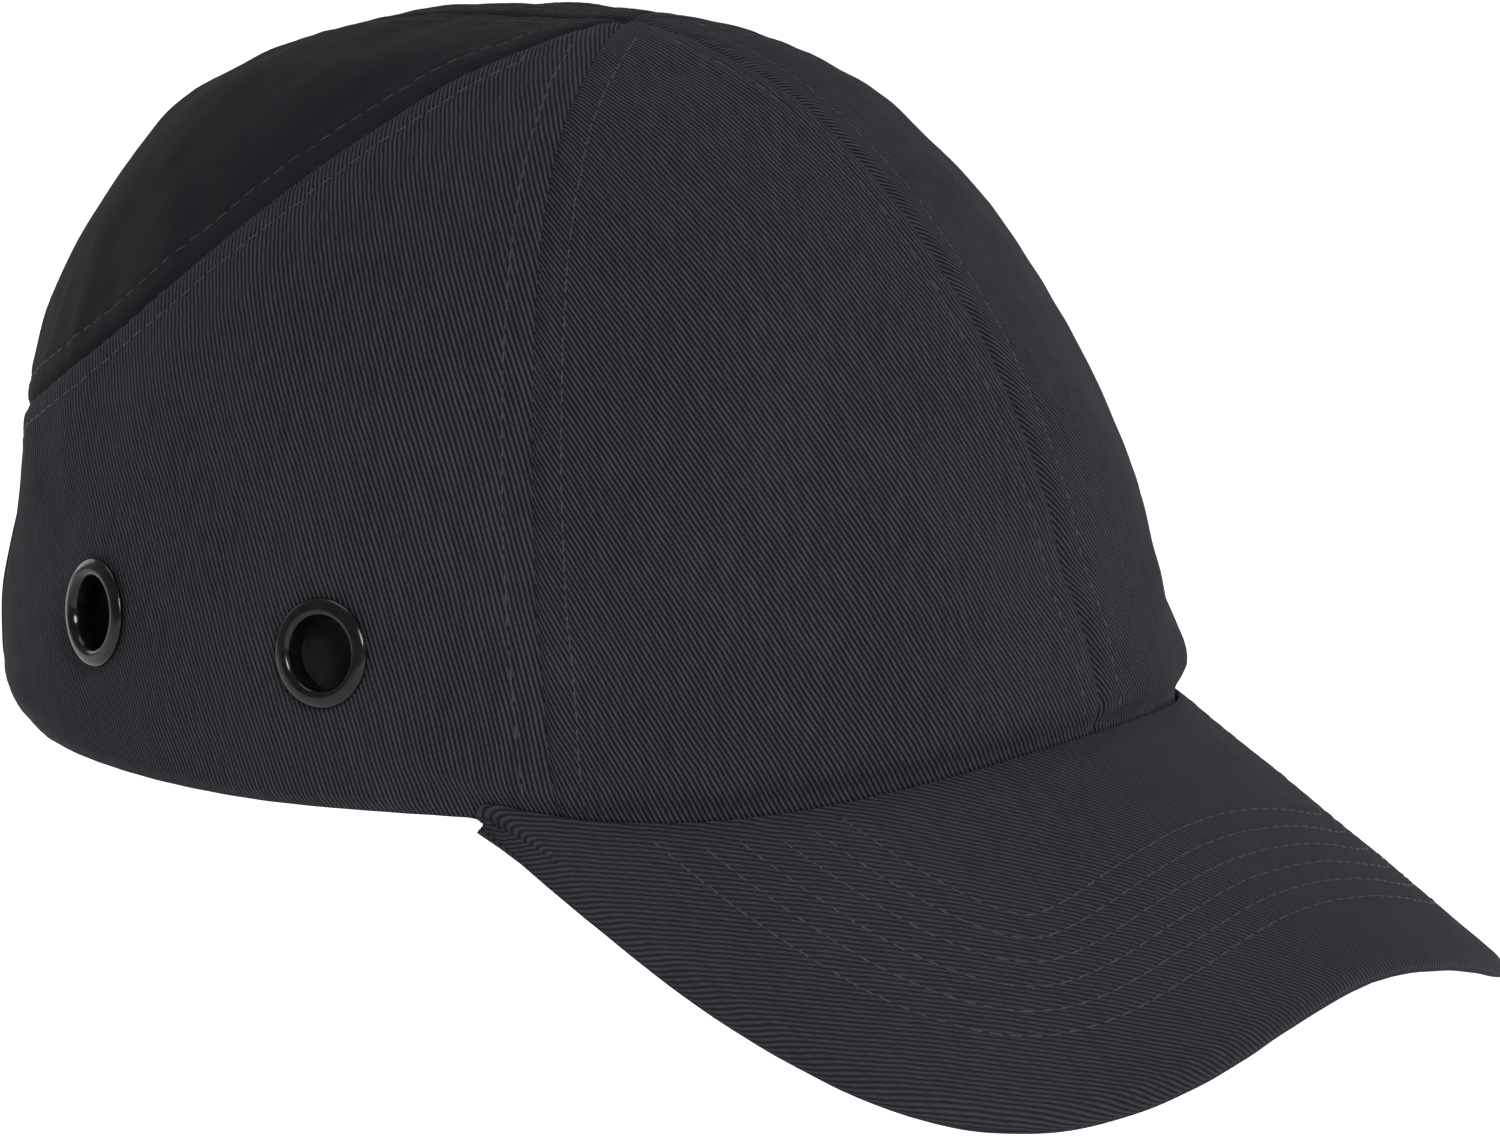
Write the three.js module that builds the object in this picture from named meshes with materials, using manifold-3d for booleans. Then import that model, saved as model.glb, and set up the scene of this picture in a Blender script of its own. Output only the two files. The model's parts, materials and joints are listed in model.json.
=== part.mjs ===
// Bump cap: a six-panel fabric cap with a curved visor, worn over a removable impact shell with foam pads.
//
// Millimetres, +Z up. The wearer faces -Y and the wearer's right is -X. The origin is the centre of the
// head opening, in the plane of the rim. Angles round the cap start at the forehead and grow towards the
// wearer's right. Every layer of the crown is the same egg-like surface, drawn in by its own inset.

import * as THREE from 'three';
import { mergeVertices } from 'three/addons/utils/BufferGeometryUtils.js';
import Module from 'manifold-3d';

const wasm = await Module();
wasm.setup();

const degrees = THREE.MathUtils.degToRad;

// ---- Driving dimensions ----------------------------------------------------------------------------

// Crown, measured on the outside of the fabric.
const HALF_WIDTH = 92;
const FRONT_REACH = 113;
const REAR_REACH = 111;
const CROWN_HEIGHT = 126;
const APEX_SHIFT = -14;
const APEX_SHIFT_POWER = 2.9;
const FRONT_FULLNESS = 1.85;
const SIDE_FULLNESS = 2.06;
const REAR_FULLNESS = 3.45;

// Seams between the six panels.
const SIDE_SEAM_YAW = 18.5;
const SIDE_SEAM_LEAN = 6.4;
const REAR_SEAM_START_RISE = 2;
const REAR_SEAM_BEND_HIGH = { back: 34, down: 13 };
const REAR_SEAM_BEND_LOW = { back: 67, down: 69 };
const REAR_SEAM_END_DOWN = 76;
const REAR_SEAM_ACROSS = { back: 0.6, up: 0.8 };

// Visor.
const VISOR_REACH = 58.8;
const VISOR_OVERHANG = 1.3;
const VISOR_SQUARENESS = 3.2;
const VISOR_END_ANGLE = 69;
const VISOR_ROOT_HEIGHT = 7.5;
const VISOR_SLOPE = 0.591;
const VISOR_ARCH_DROP = 51.7;
const VISOR_SHOULDER = 3.1;
const VISOR_ROOT_GAP = 0.4;
const VISOR_FADE_ANGLE = 26;
const VISOR_BOARD_THICKNESS = 2;
const VISOR_BOARD_MARGIN = 2;

// Fabric, tapes and the clearance between pieces that touch.
const COVER_THICKNESS = 1;
const TAPE_THICKNESS = 0.6;
const TAPE_HALF_WIDTH = 6;
const VISOR_COVER_THICKNESS = 0.8;
const CLEARANCE = 0.3;

// Head band at the rim.
const BAND_HEIGHT = 32;
const BAND_THICKNESS = 1.4;
const BAND_STRAP_GAP = 0.7;
const BAND_END_ANGLE = 147;
const FOAM_END_ANGLE = 70;
const FOAM_DROP = 2;
const HEM_HEIGHT = 1.6;

// Rear opening and its strap.
const OPENING_HALF_WIDTH = 42;
const OPENING_HEIGHT = 54;
const BINDING_WIDTH = 6;
const STRAP_WIDTH = 25;
const STRAP_LIFT = 2.5;
const STRAP_CLEARANCE = 1;
const STRAP_THICKNESS = 1;
const PILE_THICKNESS = 0.5;
const STRAP_ROOT_LAP = 7.7;
const STRAP_FOLD_AT = -27.8;
const HOOK_STRAP_TO = 30.2;
const LOOP_STRAP_FROM = -15.5;
const PILE_MARGIN = { side: 2, end: 2.6 };

// Ventilation eyelets.
const EYELET_ANGLES = [84, 115];
const EYELET_HEIGHT = 27.5;
const EYELET_BORE_RADIUS = 5.9;
const EYELET_WALL = 0.6;
const EYELET_FLANGE_RADIUS = 9.6;
const EYELET_FLANGE_RISE = 1.2;
const EYELET_LIP = { edge: 0.4, side: 0.6, mouth: 0.3, throat: 0.8 };
const EYELET_CURL = { width: 0.9, thickness: 0.4 };
const WASHER_THICKNESS = 0.4;
const WASHER_GAP = 0.17;

// Impact shell and its pads.
const SHELL_BAND_GAP = 0.5;
const SHELL_TOP_INSET = 3;
const SHELL_THICKNESS = 2.2;
const SHELL_RIM_HEIGHT = 35;
const SHELL_OPENING_MARGIN = 7;
const PAD_THICKNESS = 4;
const CROWN_PAD_FLOOR = 88;
const PAD_LIFT = 4;
const PAD_CROWN_GAP = 12;
const FRONT_PAD = { halfWidth: 50, from: -60 };
const SIDE_PAD = { from: 40, front: -40, back: 44 };
const REAR_PAD = { halfWidth: 40, from: 60, rise: 8 };
const VENT_WIDTH = 8;
const VENT_LENGTH = 30;
const VENT_PITCH = { x: 28, y: 46 };
const VENT_ROWS = [-0.5, 0.5];

// Fineness of the curved surfaces, and how far a flat facet may cut inside the true surface.
const COLUMNS = 48;
const ROWS = 10;
const INSERT_COLUMNS = 36;
const INSERT_ROWS = 8;
const VISOR_COLUMNS = 20;
const VISOR_ROWS = 4;
const RING_SIDES = 16;
const FACET_SHARE = 0.77;
const FAR = 400;

// ---- Solids ----------------------------------------------------------------------------------------

/** Turns a closed geometry into a solid that can be cut and joined. */
function solid(geometry) {
  const bare = geometry.clone();
  bare.deleteAttribute('normal');
  bare.deleteAttribute('uv');
  const merged = mergeVertices(bare);
  const mesh = new wasm.Mesh({
    numProp: 3,
    vertProperties: new Float32Array(merged.attributes.position.array),
    triVerts: new Uint32Array(merged.index.array),
  });
  return new wasm.Manifold(mesh);
}

/** Turns a solid back into a geometry. */
function geometryOf(body) {
  const mesh = body.getMesh();
  const geometry = new THREE.BufferGeometry();
  geometry.setAttribute('position', new THREE.BufferAttribute(new Float32Array(mesh.vertProperties), 3));
  geometry.setIndex(new THREE.BufferAttribute(new Uint32Array(mesh.triVerts), 1));
  geometry.computeVertexNormals();
  return geometry;
}

/** A closed solid from lists of points and triangles. */
function solidFromTriangles(points, triangles) {
  const geometry = new THREE.BufferGeometry().setFromPoints(points);
  geometry.setIndex(triangles);
  return solid(geometry);
}

/** All the space on the side of a plane that its normal points to. */
function halfSpace(point, normal) {
  const box = new THREE.BoxGeometry(2 * FAR, 2 * FAR, FAR);
  box.translate(0, 0, FAR / 2);
  const turn = new THREE.Quaternion().setFromUnitVectors(new THREE.Vector3(0, 0, 1), normal);
  box.applyQuaternion(turn);
  box.translate(point.x, point.y, point.z);
  return solid(box);
}

/** A box between two corners. */
function boxBetween(low, high) {
  const box = new THREE.BoxGeometry(high.x - low.x, high.y - low.y, high.z - low.z);
  box.translate((low.x + high.x) / 2, (low.y + high.y) / 2, (low.z + high.z) / 2);
  return solid(box);
}

/** Everything above a height. */
function above(height) {
  return boxBetween({ x: -FAR, y: -FAR, z: height }, { x: FAR, y: FAR, z: FAR });
}

/** Everything on one side of the middle plane, side 1 for the wearer's left and -1 for the right. */
function sideSpace(side, from) {
  return halfSpace(new THREE.Vector3(side * from, 0, 0), new THREE.Vector3(side, 0, 0));
}

/**
 * A sheet with a thickness. surface(u, v, back) gives a point for u and v from 0 to 1, on the face that
 * shows when back is false and on the other face when it is true. Seen from the side that shows, v is a
 * quarter turn anticlockwise from u.
 */
function thickSheet(surface, columns, rows) {
  const points = [];
  const triangles = [];
  const perSide = (columns + 1) * (rows + 1);
  const at = (i, j, back) => (back ? perSide : 0) + i * (rows + 1) + j;
  for (const back of [false, true]) {
    for (let i = 0; i <= columns; i += 1) {
      for (let j = 0; j <= rows; j += 1) points.push(surface(i / columns, j / rows, back));
    }
  }
  const quad = (a, b, c, d) => triangles.push(a, b, c, a, c, d);
  for (let i = 0; i < columns; i += 1) {
    for (let j = 0; j < rows; j += 1) {
      quad(at(i, j, false), at(i + 1, j, false), at(i + 1, j + 1, false), at(i, j + 1, false));
      quad(at(i, j, true), at(i, j + 1, true), at(i + 1, j + 1, true), at(i + 1, j, true));
    }
    quad(at(i, 0, false), at(i, 0, true), at(i + 1, 0, true), at(i + 1, 0, false));
    quad(at(i, rows, true), at(i, rows, false), at(i + 1, rows, false), at(i + 1, rows, true));
  }
  for (let j = 0; j < rows; j += 1) {
    quad(at(0, j, true), at(0, j, false), at(0, j + 1, false), at(0, j + 1, true));
    quad(at(columns, j, false), at(columns, j, true), at(columns, j + 1, true), at(columns, j + 1, false));
  }
  return solidFromTriangles(points, triangles);
}

// ---- Crown surface ---------------------------------------------------------------------------------

/** A point of the rim's outline in plan. */
function rimPlan(angle, inset) {
  const reach = Math.cos(angle) >= 0 ? FRONT_REACH : REAR_REACH;
  return new THREE.Vector2(-(HALF_WIDTH - inset) * Math.sin(angle), -(reach - inset) * Math.cos(angle));
}

/** Height of the visor's top face. */
function visorHeight(x, y) {
  return VISOR_ROOT_HEIGHT - VISOR_SLOPE * (-y - FRONT_REACH) - VISOR_ARCH_DROP * (x / HALF_WIDTH) ** 2;
}

// Depths of the layers that fit together, from the sizes above.
const visorStack = 2 * VISOR_COVER_THICKNESS + VISOR_BOARD_THICKNESS + 3 * CLEARANCE;
const visorHalfWidth = HALF_WIDTH * Math.sin(degrees(VISOR_END_ANGLE)) + VISOR_OVERHANG;
const facetSag = (FACET_SHARE * HALF_WIDTH * FRONT_REACH) / CROWN_HEIGHT ** 2;
const strapOuterInset = COVER_THICKNESS + STRAP_CLEARANCE;
const strapHalfWidth = HALF_WIDTH - strapOuterInset;
const strapReach = REAR_REACH - strapOuterInset;
const strapRoot = OPENING_HALF_WIDTH + STRAP_ROOT_LAP;
const strapStack = 2 * STRAP_THICKNESS + 2 * PILE_THICKNESS + 3 * CLEARANCE;

// The strap's circle touches the rear in the middle and stays inside the panel as far as its root.
const strapTurn = Math.PI - Math.asin(strapRoot / strapHalfWidth);
const strapEnd = crownAtHeight(strapTurn, STRAP_LIFT + STRAP_WIDTH, strapOuterInset);
const strapDrop = strapReach - strapEnd.y;
const widestRadius = strapHalfWidth ** 2 / strapReach;
const endRadius = (strapDrop ** 2 + strapEnd.x ** 2) / (2 * strapDrop);
const strapRadius = Math.min(widestRadius, strapReach, endRadius);
const strapCentreY = strapReach - strapRadius;

// The head band clears the strap, and the shell clears the head band.
const strapBow = (radius) => radius - Math.sqrt(radius ** 2 - strapRoot ** 2);
const strapTuck = strapBow(strapRadius) - strapBow(widestRadius);
const bandInset = strapOuterInset + strapStack + strapTuck + BAND_STRAP_GAP;
const shellInset = bandInset + BAND_THICKNESS + SHELL_BAND_GAP;

/** Height of the rim: it follows the visor's underside in front, and lies flat behind. */
function rimHeight(angle) {
  const wrapped = Math.abs(Math.atan2(Math.sin(angle), Math.cos(angle)));
  const end = degrees(VISOR_END_ANGLE);
  const edge = rimPlan(Math.min(wrapped, end), 0);
  const height = visorHeight(edge.x, edge.y) - visorStack;
  const fade = THREE.MathUtils.smoothstep(wrapped, end, end + degrees(VISOR_FADE_ANGLE));
  return height * (1 - fade);
}

/** How boxy the crown's upright section is in a direction; 2 is an ellipse. */
function fullness(angle) {
  const ends = Math.cos(angle) >= 0 ? FRONT_FULLNESS : REAR_FULLNESS;
  return SIDE_FULLNESS * Math.sin(angle) ** 2 + ends * Math.cos(angle) ** 2;
}

/** A point of the crown where the outline has shrunk to a share out of 1 and risen to a share out of 1. */
function crownPoint(angle, out, up, inset, topInset) {
  const plan = rimPlan(angle, inset);
  const rim = rimHeight(angle);
  const y = plan.y * out + APEX_SHIFT * up ** APEX_SHIFT_POWER;
  return new THREE.Vector3(plan.x * out, y, rim * (1 - up) + (CROWN_HEIGHT - topInset) * up);
}

/** A point of the crown's surface at a height above the rim. */
function crownAtHeight(angle, aboveRim, inset = 0) {
  const power = fullness(angle);
  const up = aboveRim / (CROWN_HEIGHT - inset - rimHeight(angle));
  return crownPoint(angle, (1 - up ** power) ** (1 / power), up, inset, inset);
}

/** The crown's outward direction at a height above the rim. */
function crownNormal(angle, aboveRim) {
  const step = 0.01;
  const here = crownAtHeight(angle, aboveRim);
  const round = crownAtHeight(angle + step, aboveRim).sub(here);
  const rise = crownAtHeight(angle, aboveRim + 1).sub(here);
  return rise.cross(round).normalize();
}

/** A closed dome between two insets of the crown surface, open underneath. */
function crownLayer(inset, thickness, topInset = inset, columns = COLUMNS, rows = ROWS) {
  const points = [];
  const triangles = [];
  const perSide = columns * rows + 1;
  for (const depth of [0, thickness]) {
    for (let row = 0; row < rows; row += 1) {
      const climb = (row / rows) * (Math.PI / 2);
      for (let column = 0; column < columns; column += 1) {
        const angle = (column / columns) * 2 * Math.PI;
        const power = 2 / fullness(angle);
        const out = Math.cos(climb) ** power;
        const up = Math.sin(climb) ** power;
        points.push(crownPoint(angle, out, up, inset + depth, topInset + depth));
      }
    }
    points.push(crownPoint(0, 0, 1, inset + depth, topInset + depth));
  }
  const at = (row, column, back) => (back ? perSide : 0) + row * columns + (column % columns);
  const apex = (back) => (back ? perSide : 0) + columns * rows;
  for (let column = 0; column < columns; column += 1) {
    const next = column + 1;
    for (let row = 0; row + 1 < rows; row += 1) {
      triangles.push(at(row, column, false), at(row + 1, column, false), at(row, next, false));
      triangles.push(at(row, next, false), at(row + 1, column, false), at(row + 1, next, false));
      triangles.push(at(row, column, true), at(row, next, true), at(row + 1, column, true));
      triangles.push(at(row, next, true), at(row + 1, next, true), at(row + 1, column, true));
    }
    triangles.push(at(rows - 1, column, false), apex(false), at(rows - 1, next, false));
    triangles.push(at(rows - 1, column, true), at(rows - 1, next, true), apex(true));
    triangles.push(at(0, column, false), at(0, next, false), at(0, column, true));
    triangles.push(at(0, next, false), at(0, next, true), at(0, column, true));
  }
  return solidFromTriangles(points, triangles);
}

/** A band that follows the rim between two angles each side of the forehead and two heights above the rim. */
function rimBand(inset, thickness, low, high, endAngle) {
  const end = degrees(endAngle);
  const surface = (u, v, back) => {
    const angle = end * (1 - 2 * u);
    return crownAtHeight(angle, low + v * (high - low), inset + (back ? thickness : 0));
  };
  const columns = Math.round((COLUMNS * endAngle) / 180);
  return thickSheet(surface, columns, high - low > HEM_HEIGHT ? 3 : 1);
}

// ---- Cutters ---------------------------------------------------------------------------------------

const apexPoint = new THREE.Vector3(0, APEX_SHIFT, CROWN_HEIGHT);

/** The space behind a front seam, side 1 left and -1 right, moved back by a distance. */
function behindSideSeam(side, distance) {
  const yaw = degrees(SIDE_SEAM_YAW);
  const lean = degrees(SIDE_SEAM_LEAN);
  const normal = new THREE.Vector3(
    side * Math.sin(yaw) * Math.cos(lean),
    Math.cos(yaw) * Math.cos(lean),
    -Math.sin(lean),
  );
  return halfSpace(apexPoint.clone().addScaledVector(normal, distance), normal);
}

/** The space above and behind the seam under the rear crown panels, moved off it by a distance. */
function aboveRearSeam(distance) {
  const shiftY = APEX_SHIFT + REAR_SEAM_ACROSS.back * distance;
  const shiftZ = CROWN_HEIGHT + REAR_SEAM_ACROSS.up * distance;
  const startZ = shiftZ + REAR_SEAM_START_RISE;
  const endY = REAR_REACH - APEX_SHIFT + shiftY;
  const endZ = shiftZ - REAR_SEAM_END_DOWN;
  const shape = new THREE.Shape();
  shape.moveTo(shiftY, startZ);
  shape.bezierCurveTo(
    shiftY + REAR_SEAM_BEND_HIGH.back,
    shiftZ - REAR_SEAM_BEND_HIGH.down,
    shiftY + REAR_SEAM_BEND_LOW.back,
    shiftZ - REAR_SEAM_BEND_LOW.down,
    endY,
    endZ,
  );
  shape.lineTo(FAR, endZ);
  shape.lineTo(FAR, FAR);
  shape.lineTo(shiftY, FAR);
  const prism = new THREE.ExtrudeGeometry(shape, { depth: 2 * FAR, bevelEnabled: false, curveSegments: 10 });
  const sideways = new THREE.Matrix4().makeBasis(
    new THREE.Vector3(0, 1, 0),
    new THREE.Vector3(0, 0, 1),
    new THREE.Vector3(1, 0, 0),
  );
  prism.translate(0, 0, -FAR);
  prism.applyMatrix4(sideways);
  return solid(prism);
}

/** The tunnel of the rear opening, widened all round by a margin. */
function rearOpening(margin) {
  const half = OPENING_HALF_WIDTH + margin;
  const spring = OPENING_HEIGHT + margin - half;
  const shape = new THREE.Shape();
  shape.moveTo(-half, -FAR);
  shape.lineTo(half, -FAR);
  shape.lineTo(half, spring);
  shape.absarc(0, spring, half, 0, Math.PI, false);
  const prism = new THREE.ExtrudeGeometry(shape, { depth: FAR, bevelEnabled: false, curveSegments: 12 });
  prism.rotateX(Math.PI / 2);
  prism.translate(0, FAR, 0);
  return solid(prism);
}

/** Upright slots through the top of the shell and its pad. */
function ventSlots() {
  const half = VENT_WIDTH / 2;
  const straight = (VENT_LENGTH - VENT_WIDTH) / 2;
  const slot = new THREE.Shape();
  slot.absarc(0, straight, half, 0, Math.PI, false);
  slot.absarc(0, -straight, half, Math.PI, 2 * Math.PI, false);
  const cutters = [];
  for (const column of [-1, 0, 1]) {
    for (const row of VENT_ROWS) {
      const prism = new THREE.ExtrudeGeometry(slot, { depth: FAR, bevelEnabled: false, curveSegments: 3 });
      prism.translate(column * VENT_PITCH.x, row * VENT_PITCH.y, CROWN_HEIGHT / 2);
      cutters.push(solid(prism));
    }
  }
  return cutters.reduce((all, next) => all.add(next));
}

/** A rod through the crown at an eyelet, on the outward direction there. */
function eyeletBore(place, radius) {
  const rod = new THREE.CylinderGeometry(radius, radius, 2 * EYELET_FLANGE_RADIUS, RING_SIDES);
  rod.rotateX(Math.PI / 2);
  rod.applyQuaternion(place.turn);
  rod.translate(place.at.x, place.at.y, place.at.z);
  return solid(rod);
}

// ---- Parts -----------------------------------------------------------------------------------------

const cap = new THREE.Group();

/** Adds one named piece to the cap. */
function addPiece(name, body, look) {
  const geometry = body.isBufferGeometry ? body : geometryOf(body);
  const mesh = new THREE.Mesh(geometry, new THREE.MeshStandardMaterial(look));
  mesh.name = name;
  cap.add(mesh);
  return mesh;
}

const twill = { color: 0x2b2c30, roughness: 0.92, metalness: 0 };
const darkTwill = { color: 0x1a1a1d, roughness: 0.95, metalness: 0 };
const tapeLook = { color: 0x202124, roughness: 0.95, metalness: 0 };
const terryLook = { color: 0x26272b, roughness: 1, metalness: 0 };
const foamLook = { color: 0x3a3c40, roughness: 1, metalness: 0 };
const boardLook = { color: 0x101012, roughness: 0.6, metalness: 0 };
const shellLook = { color: 0x1d1f22, roughness: 0.45, metalness: 0 };
const eyeletLook = { color: 0x0b0b0c, roughness: 0.25, metalness: 0.6 };
const pileLook = { color: 0x151517, roughness: 1, metalness: 0 };

const sides = [{ side: -1, word: 'right' }, { side: 1, word: 'left' }];

/** Where the eyelets of one side sit, with the turn that takes +Z to the crown's outward direction. */
function eyeletPlaces(side) {
  return EYELET_ANGLES.map((angle) => {
    const round = -side * degrees(angle);
    const at = crownAtHeight(round, EYELET_HEIGHT);
    const outward = crownNormal(round, EYELET_HEIGHT);
    return { at, turn: new THREE.Quaternion().setFromUnitVectors(new THREE.Vector3(0, 0, 1), outward) };
  });
}

/** The six panels, cut from one dome along the seams. */
function makePanels() {
  const half = CLEARANCE / 2;
  const dome = crownLayer(0, COVER_THICKNESS).subtract(rearOpening(0));
  const rear = aboveRearSeam(half);
  const notRear = aboveRearSeam(-half);
  const boreRadius = EYELET_BORE_RADIUS + EYELET_WALL + CLEARANCE;
  for (const { side, word } of sides) {
    const mine = dome.intersect(sideSpace(side, half));
    const behind = mine.intersect(behindSideSeam(side, half));
    const bores = eyeletPlaces(side).map((place) => eyeletBore(place, boreRadius));
    const sidePanel = bores.reduce((panel, bore) => panel.subtract(bore), behind.subtract(notRear));
    addPiece(`front_panel_${word}`, mine.subtract(behindSideSeam(side, -half)), twill);
    addPiece(`side_panel_${word}`, sidePanel, twill);
    addPiece(`rear_crown_panel_${word}`, behind.intersect(rear), darkTwill);
  }
}

/** Narrow tapes that cover the seams on the inside. */
function makeSeamTapes() {
  const reach = TAPE_HALF_WIDTH;
  const next = reach + CLEARANCE;
  const opening = rearOpening(BINDING_WIDTH + CLEARANCE);
  const layer = crownLayer(COVER_THICKNESS + CLEARANCE, TAPE_THICKNESS).subtract(opening);
  const middle = boxBetween({ x: -reach, y: -FAR, z: -FAR }, { x: reach, y: FAR, z: FAR });
  addPiece('centre_seam_tape', layer.intersect(middle), tapeLook);
  for (const { side, word } of sides) {
    const outside = layer.intersect(sideSpace(side, next));
    const sideTape = outside.intersect(behindSideSeam(side, -reach)).subtract(behindSideSeam(side, reach));
    const rearTape = outside.intersect(behindSideSeam(side, next)).intersect(aboveRearSeam(-reach));
    addPiece(`side_seam_tape_${word}`, sideTape, tapeLook);
    addPiece(`rear_seam_tape_${word}`, rearTape.subtract(aboveRearSeam(reach)), tapeLook);
  }
}

/** The tape that binds the edge of the rear opening. */
function makeOpeningBinding() {
  const layer = crownLayer(COVER_THICKNESS + CLEARANCE, TAPE_THICKNESS);
  const strapTop = STRAP_LIFT + STRAP_WIDTH + CLEARANCE;
  const arch = layer.intersect(rearOpening(BINDING_WIDTH)).subtract(rearOpening(0));
  addPiece('rear_opening_binding', arch.intersect(above(strapTop)), tapeLook);
}

/** A sheet that follows the visor between two depths under its top face. */
function visorSheet(topDepth, thickness, margin) {
  const end = degrees(VISOR_END_ANGLE);
  const startY = rimPlan(end, 0).y - VISOR_SHOULDER;
  const tipY = -(FRONT_REACH + VISOR_REACH - margin);
  const power = 2 / VISOR_SQUARENESS;
  const surface = (u, v, back) => {
    const inner = rimPlan(end * (2 * u - 1), -VISOR_ROOT_GAP);
    const swing = (Math.PI / 2) * (2 * u - 1);
    const across = Math.abs(Math.sin(swing)) ** power * Math.sign(swing);
    const outer = new THREE.Vector2(
      -(visorHalfWidth - margin) * across,
      startY + (tipY - startY) * Math.cos(swing) ** power,
    );
    const plan = inner.lerp(outer, v);
    return new THREE.Vector3(plan.x, plan.y, visorHeight(plan.x, plan.y) - topDepth - (back ? thickness : 0));
  };
  return thickSheet(surface, VISOR_COLUMNS, VISOR_ROWS);
}

/** The visor: a stiff board between two layers of fabric. */
function makeVisor() {
  const boardDepth = VISOR_COVER_THICKNESS + CLEARANCE;
  const underDepth = boardDepth + VISOR_BOARD_THICKNESS + CLEARANCE;
  addPiece('visor_top_cover', visorSheet(0, VISOR_COVER_THICKNESS, 0), twill);
  addPiece('visor_board', visorSheet(boardDepth, VISOR_BOARD_THICKNESS, VISOR_BOARD_MARGIN), boardLook);
  addPiece('visor_under_cover', visorSheet(underDepth, VISOR_COVER_THICKNESS, 0), twill);
}

/** The head band, the foam behind its front, and the hem tape that closes the rim under them. */
function makeHeadBand() {
  const fillInset = COVER_THICKNESS + TAPE_THICKNESS + CLEARANCE + facetSag;
  const fillThickness = bandInset - CLEARANCE - fillInset;
  const foamLow = HEM_HEIGHT + CLEARANCE;
  addPiece('sweatband', rimBand(bandInset, BAND_THICKNESS, 0, BAND_HEIGHT, BAND_END_ANGLE), terryLook);
  const foamHigh = BAND_HEIGHT - FOAM_DROP;
  addPiece('sweatband_foam', rimBand(fillInset, fillThickness, foamLow, foamHigh, FOAM_END_ANGLE), foamLook);
  addPiece('hem_tape', rimBand(fillInset, fillThickness, 0, HEM_HEIGHT, BAND_END_ANGLE), tapeLook);
}


/** An upright strip on the strap's circle, between two distances from the middle, at a depth inside it. */
function strapStrip(depth, thickness, from, to, margin) {
  const outer = strapRadius - depth;
  const inner = outer - thickness;
  const start = Math.acos(from / strapRadius);
  const stop = Math.acos(to / strapRadius);
  const shape = new THREE.Shape();
  shape.absarc(0, 0, outer, start, stop, true);
  shape.absarc(0, 0, inner, stop, start, false);
  const height = STRAP_WIDTH - 2 * margin;
  const strip = new THREE.ExtrudeGeometry(shape, { depth: height, bevelEnabled: false, curveSegments: 9 });
  strip.translate(0, strapCentreY, STRAP_LIFT + margin);
  return strip;
}

/** The rear strap: a hook strap from the right laid over a loop strap from the left. */
function makeStrap() {
  const hookDepth = STRAP_THICKNESS + CLEARANCE;
  const loopDepth = hookDepth + PILE_THICKNESS + CLEARANCE;
  const loopStrapDepth = loopDepth + PILE_THICKNESS + CLEARANCE;
  const near = STRAP_FOLD_AT - CLEARANCE / 2;
  const far = STRAP_FOLD_AT + CLEARANCE / 2;
  addPiece('strap_root', strapStrip(0, STRAP_THICKNESS, -strapRoot, near, 0), twill);
  addPiece('strap_tab', strapStrip(0, STRAP_THICKNESS, far, HOOK_STRAP_TO, 0), twill);
  const pile = (depth, from, to) => {
    const { side, end } = PILE_MARGIN;
    return strapStrip(depth, PILE_THICKNESS, from + end, to - end, side);
  };
  addPiece('hook_tape', pile(hookDepth, STRAP_FOLD_AT, HOOK_STRAP_TO), pileLook);
  addPiece('loop_tape', pile(loopDepth, LOOP_STRAP_FROM, strapRoot), pileLook);
  addPiece('loop_strap', strapStrip(loopStrapDepth, STRAP_THICKNESS, LOOP_STRAP_FROM, strapRoot, 0), twill);
}

/** A ring from a closed outline of [radius, height] pairs. */
function ring(outline) {
  const closed = [...outline, outline[0]].map(([radius, height]) => new THREE.Vector2(radius, height));
  const geometry = new THREE.LatheGeometry(closed, RING_SIDES);
  geometry.rotateX(Math.PI / 2);
  return solid(geometry);
}

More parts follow.
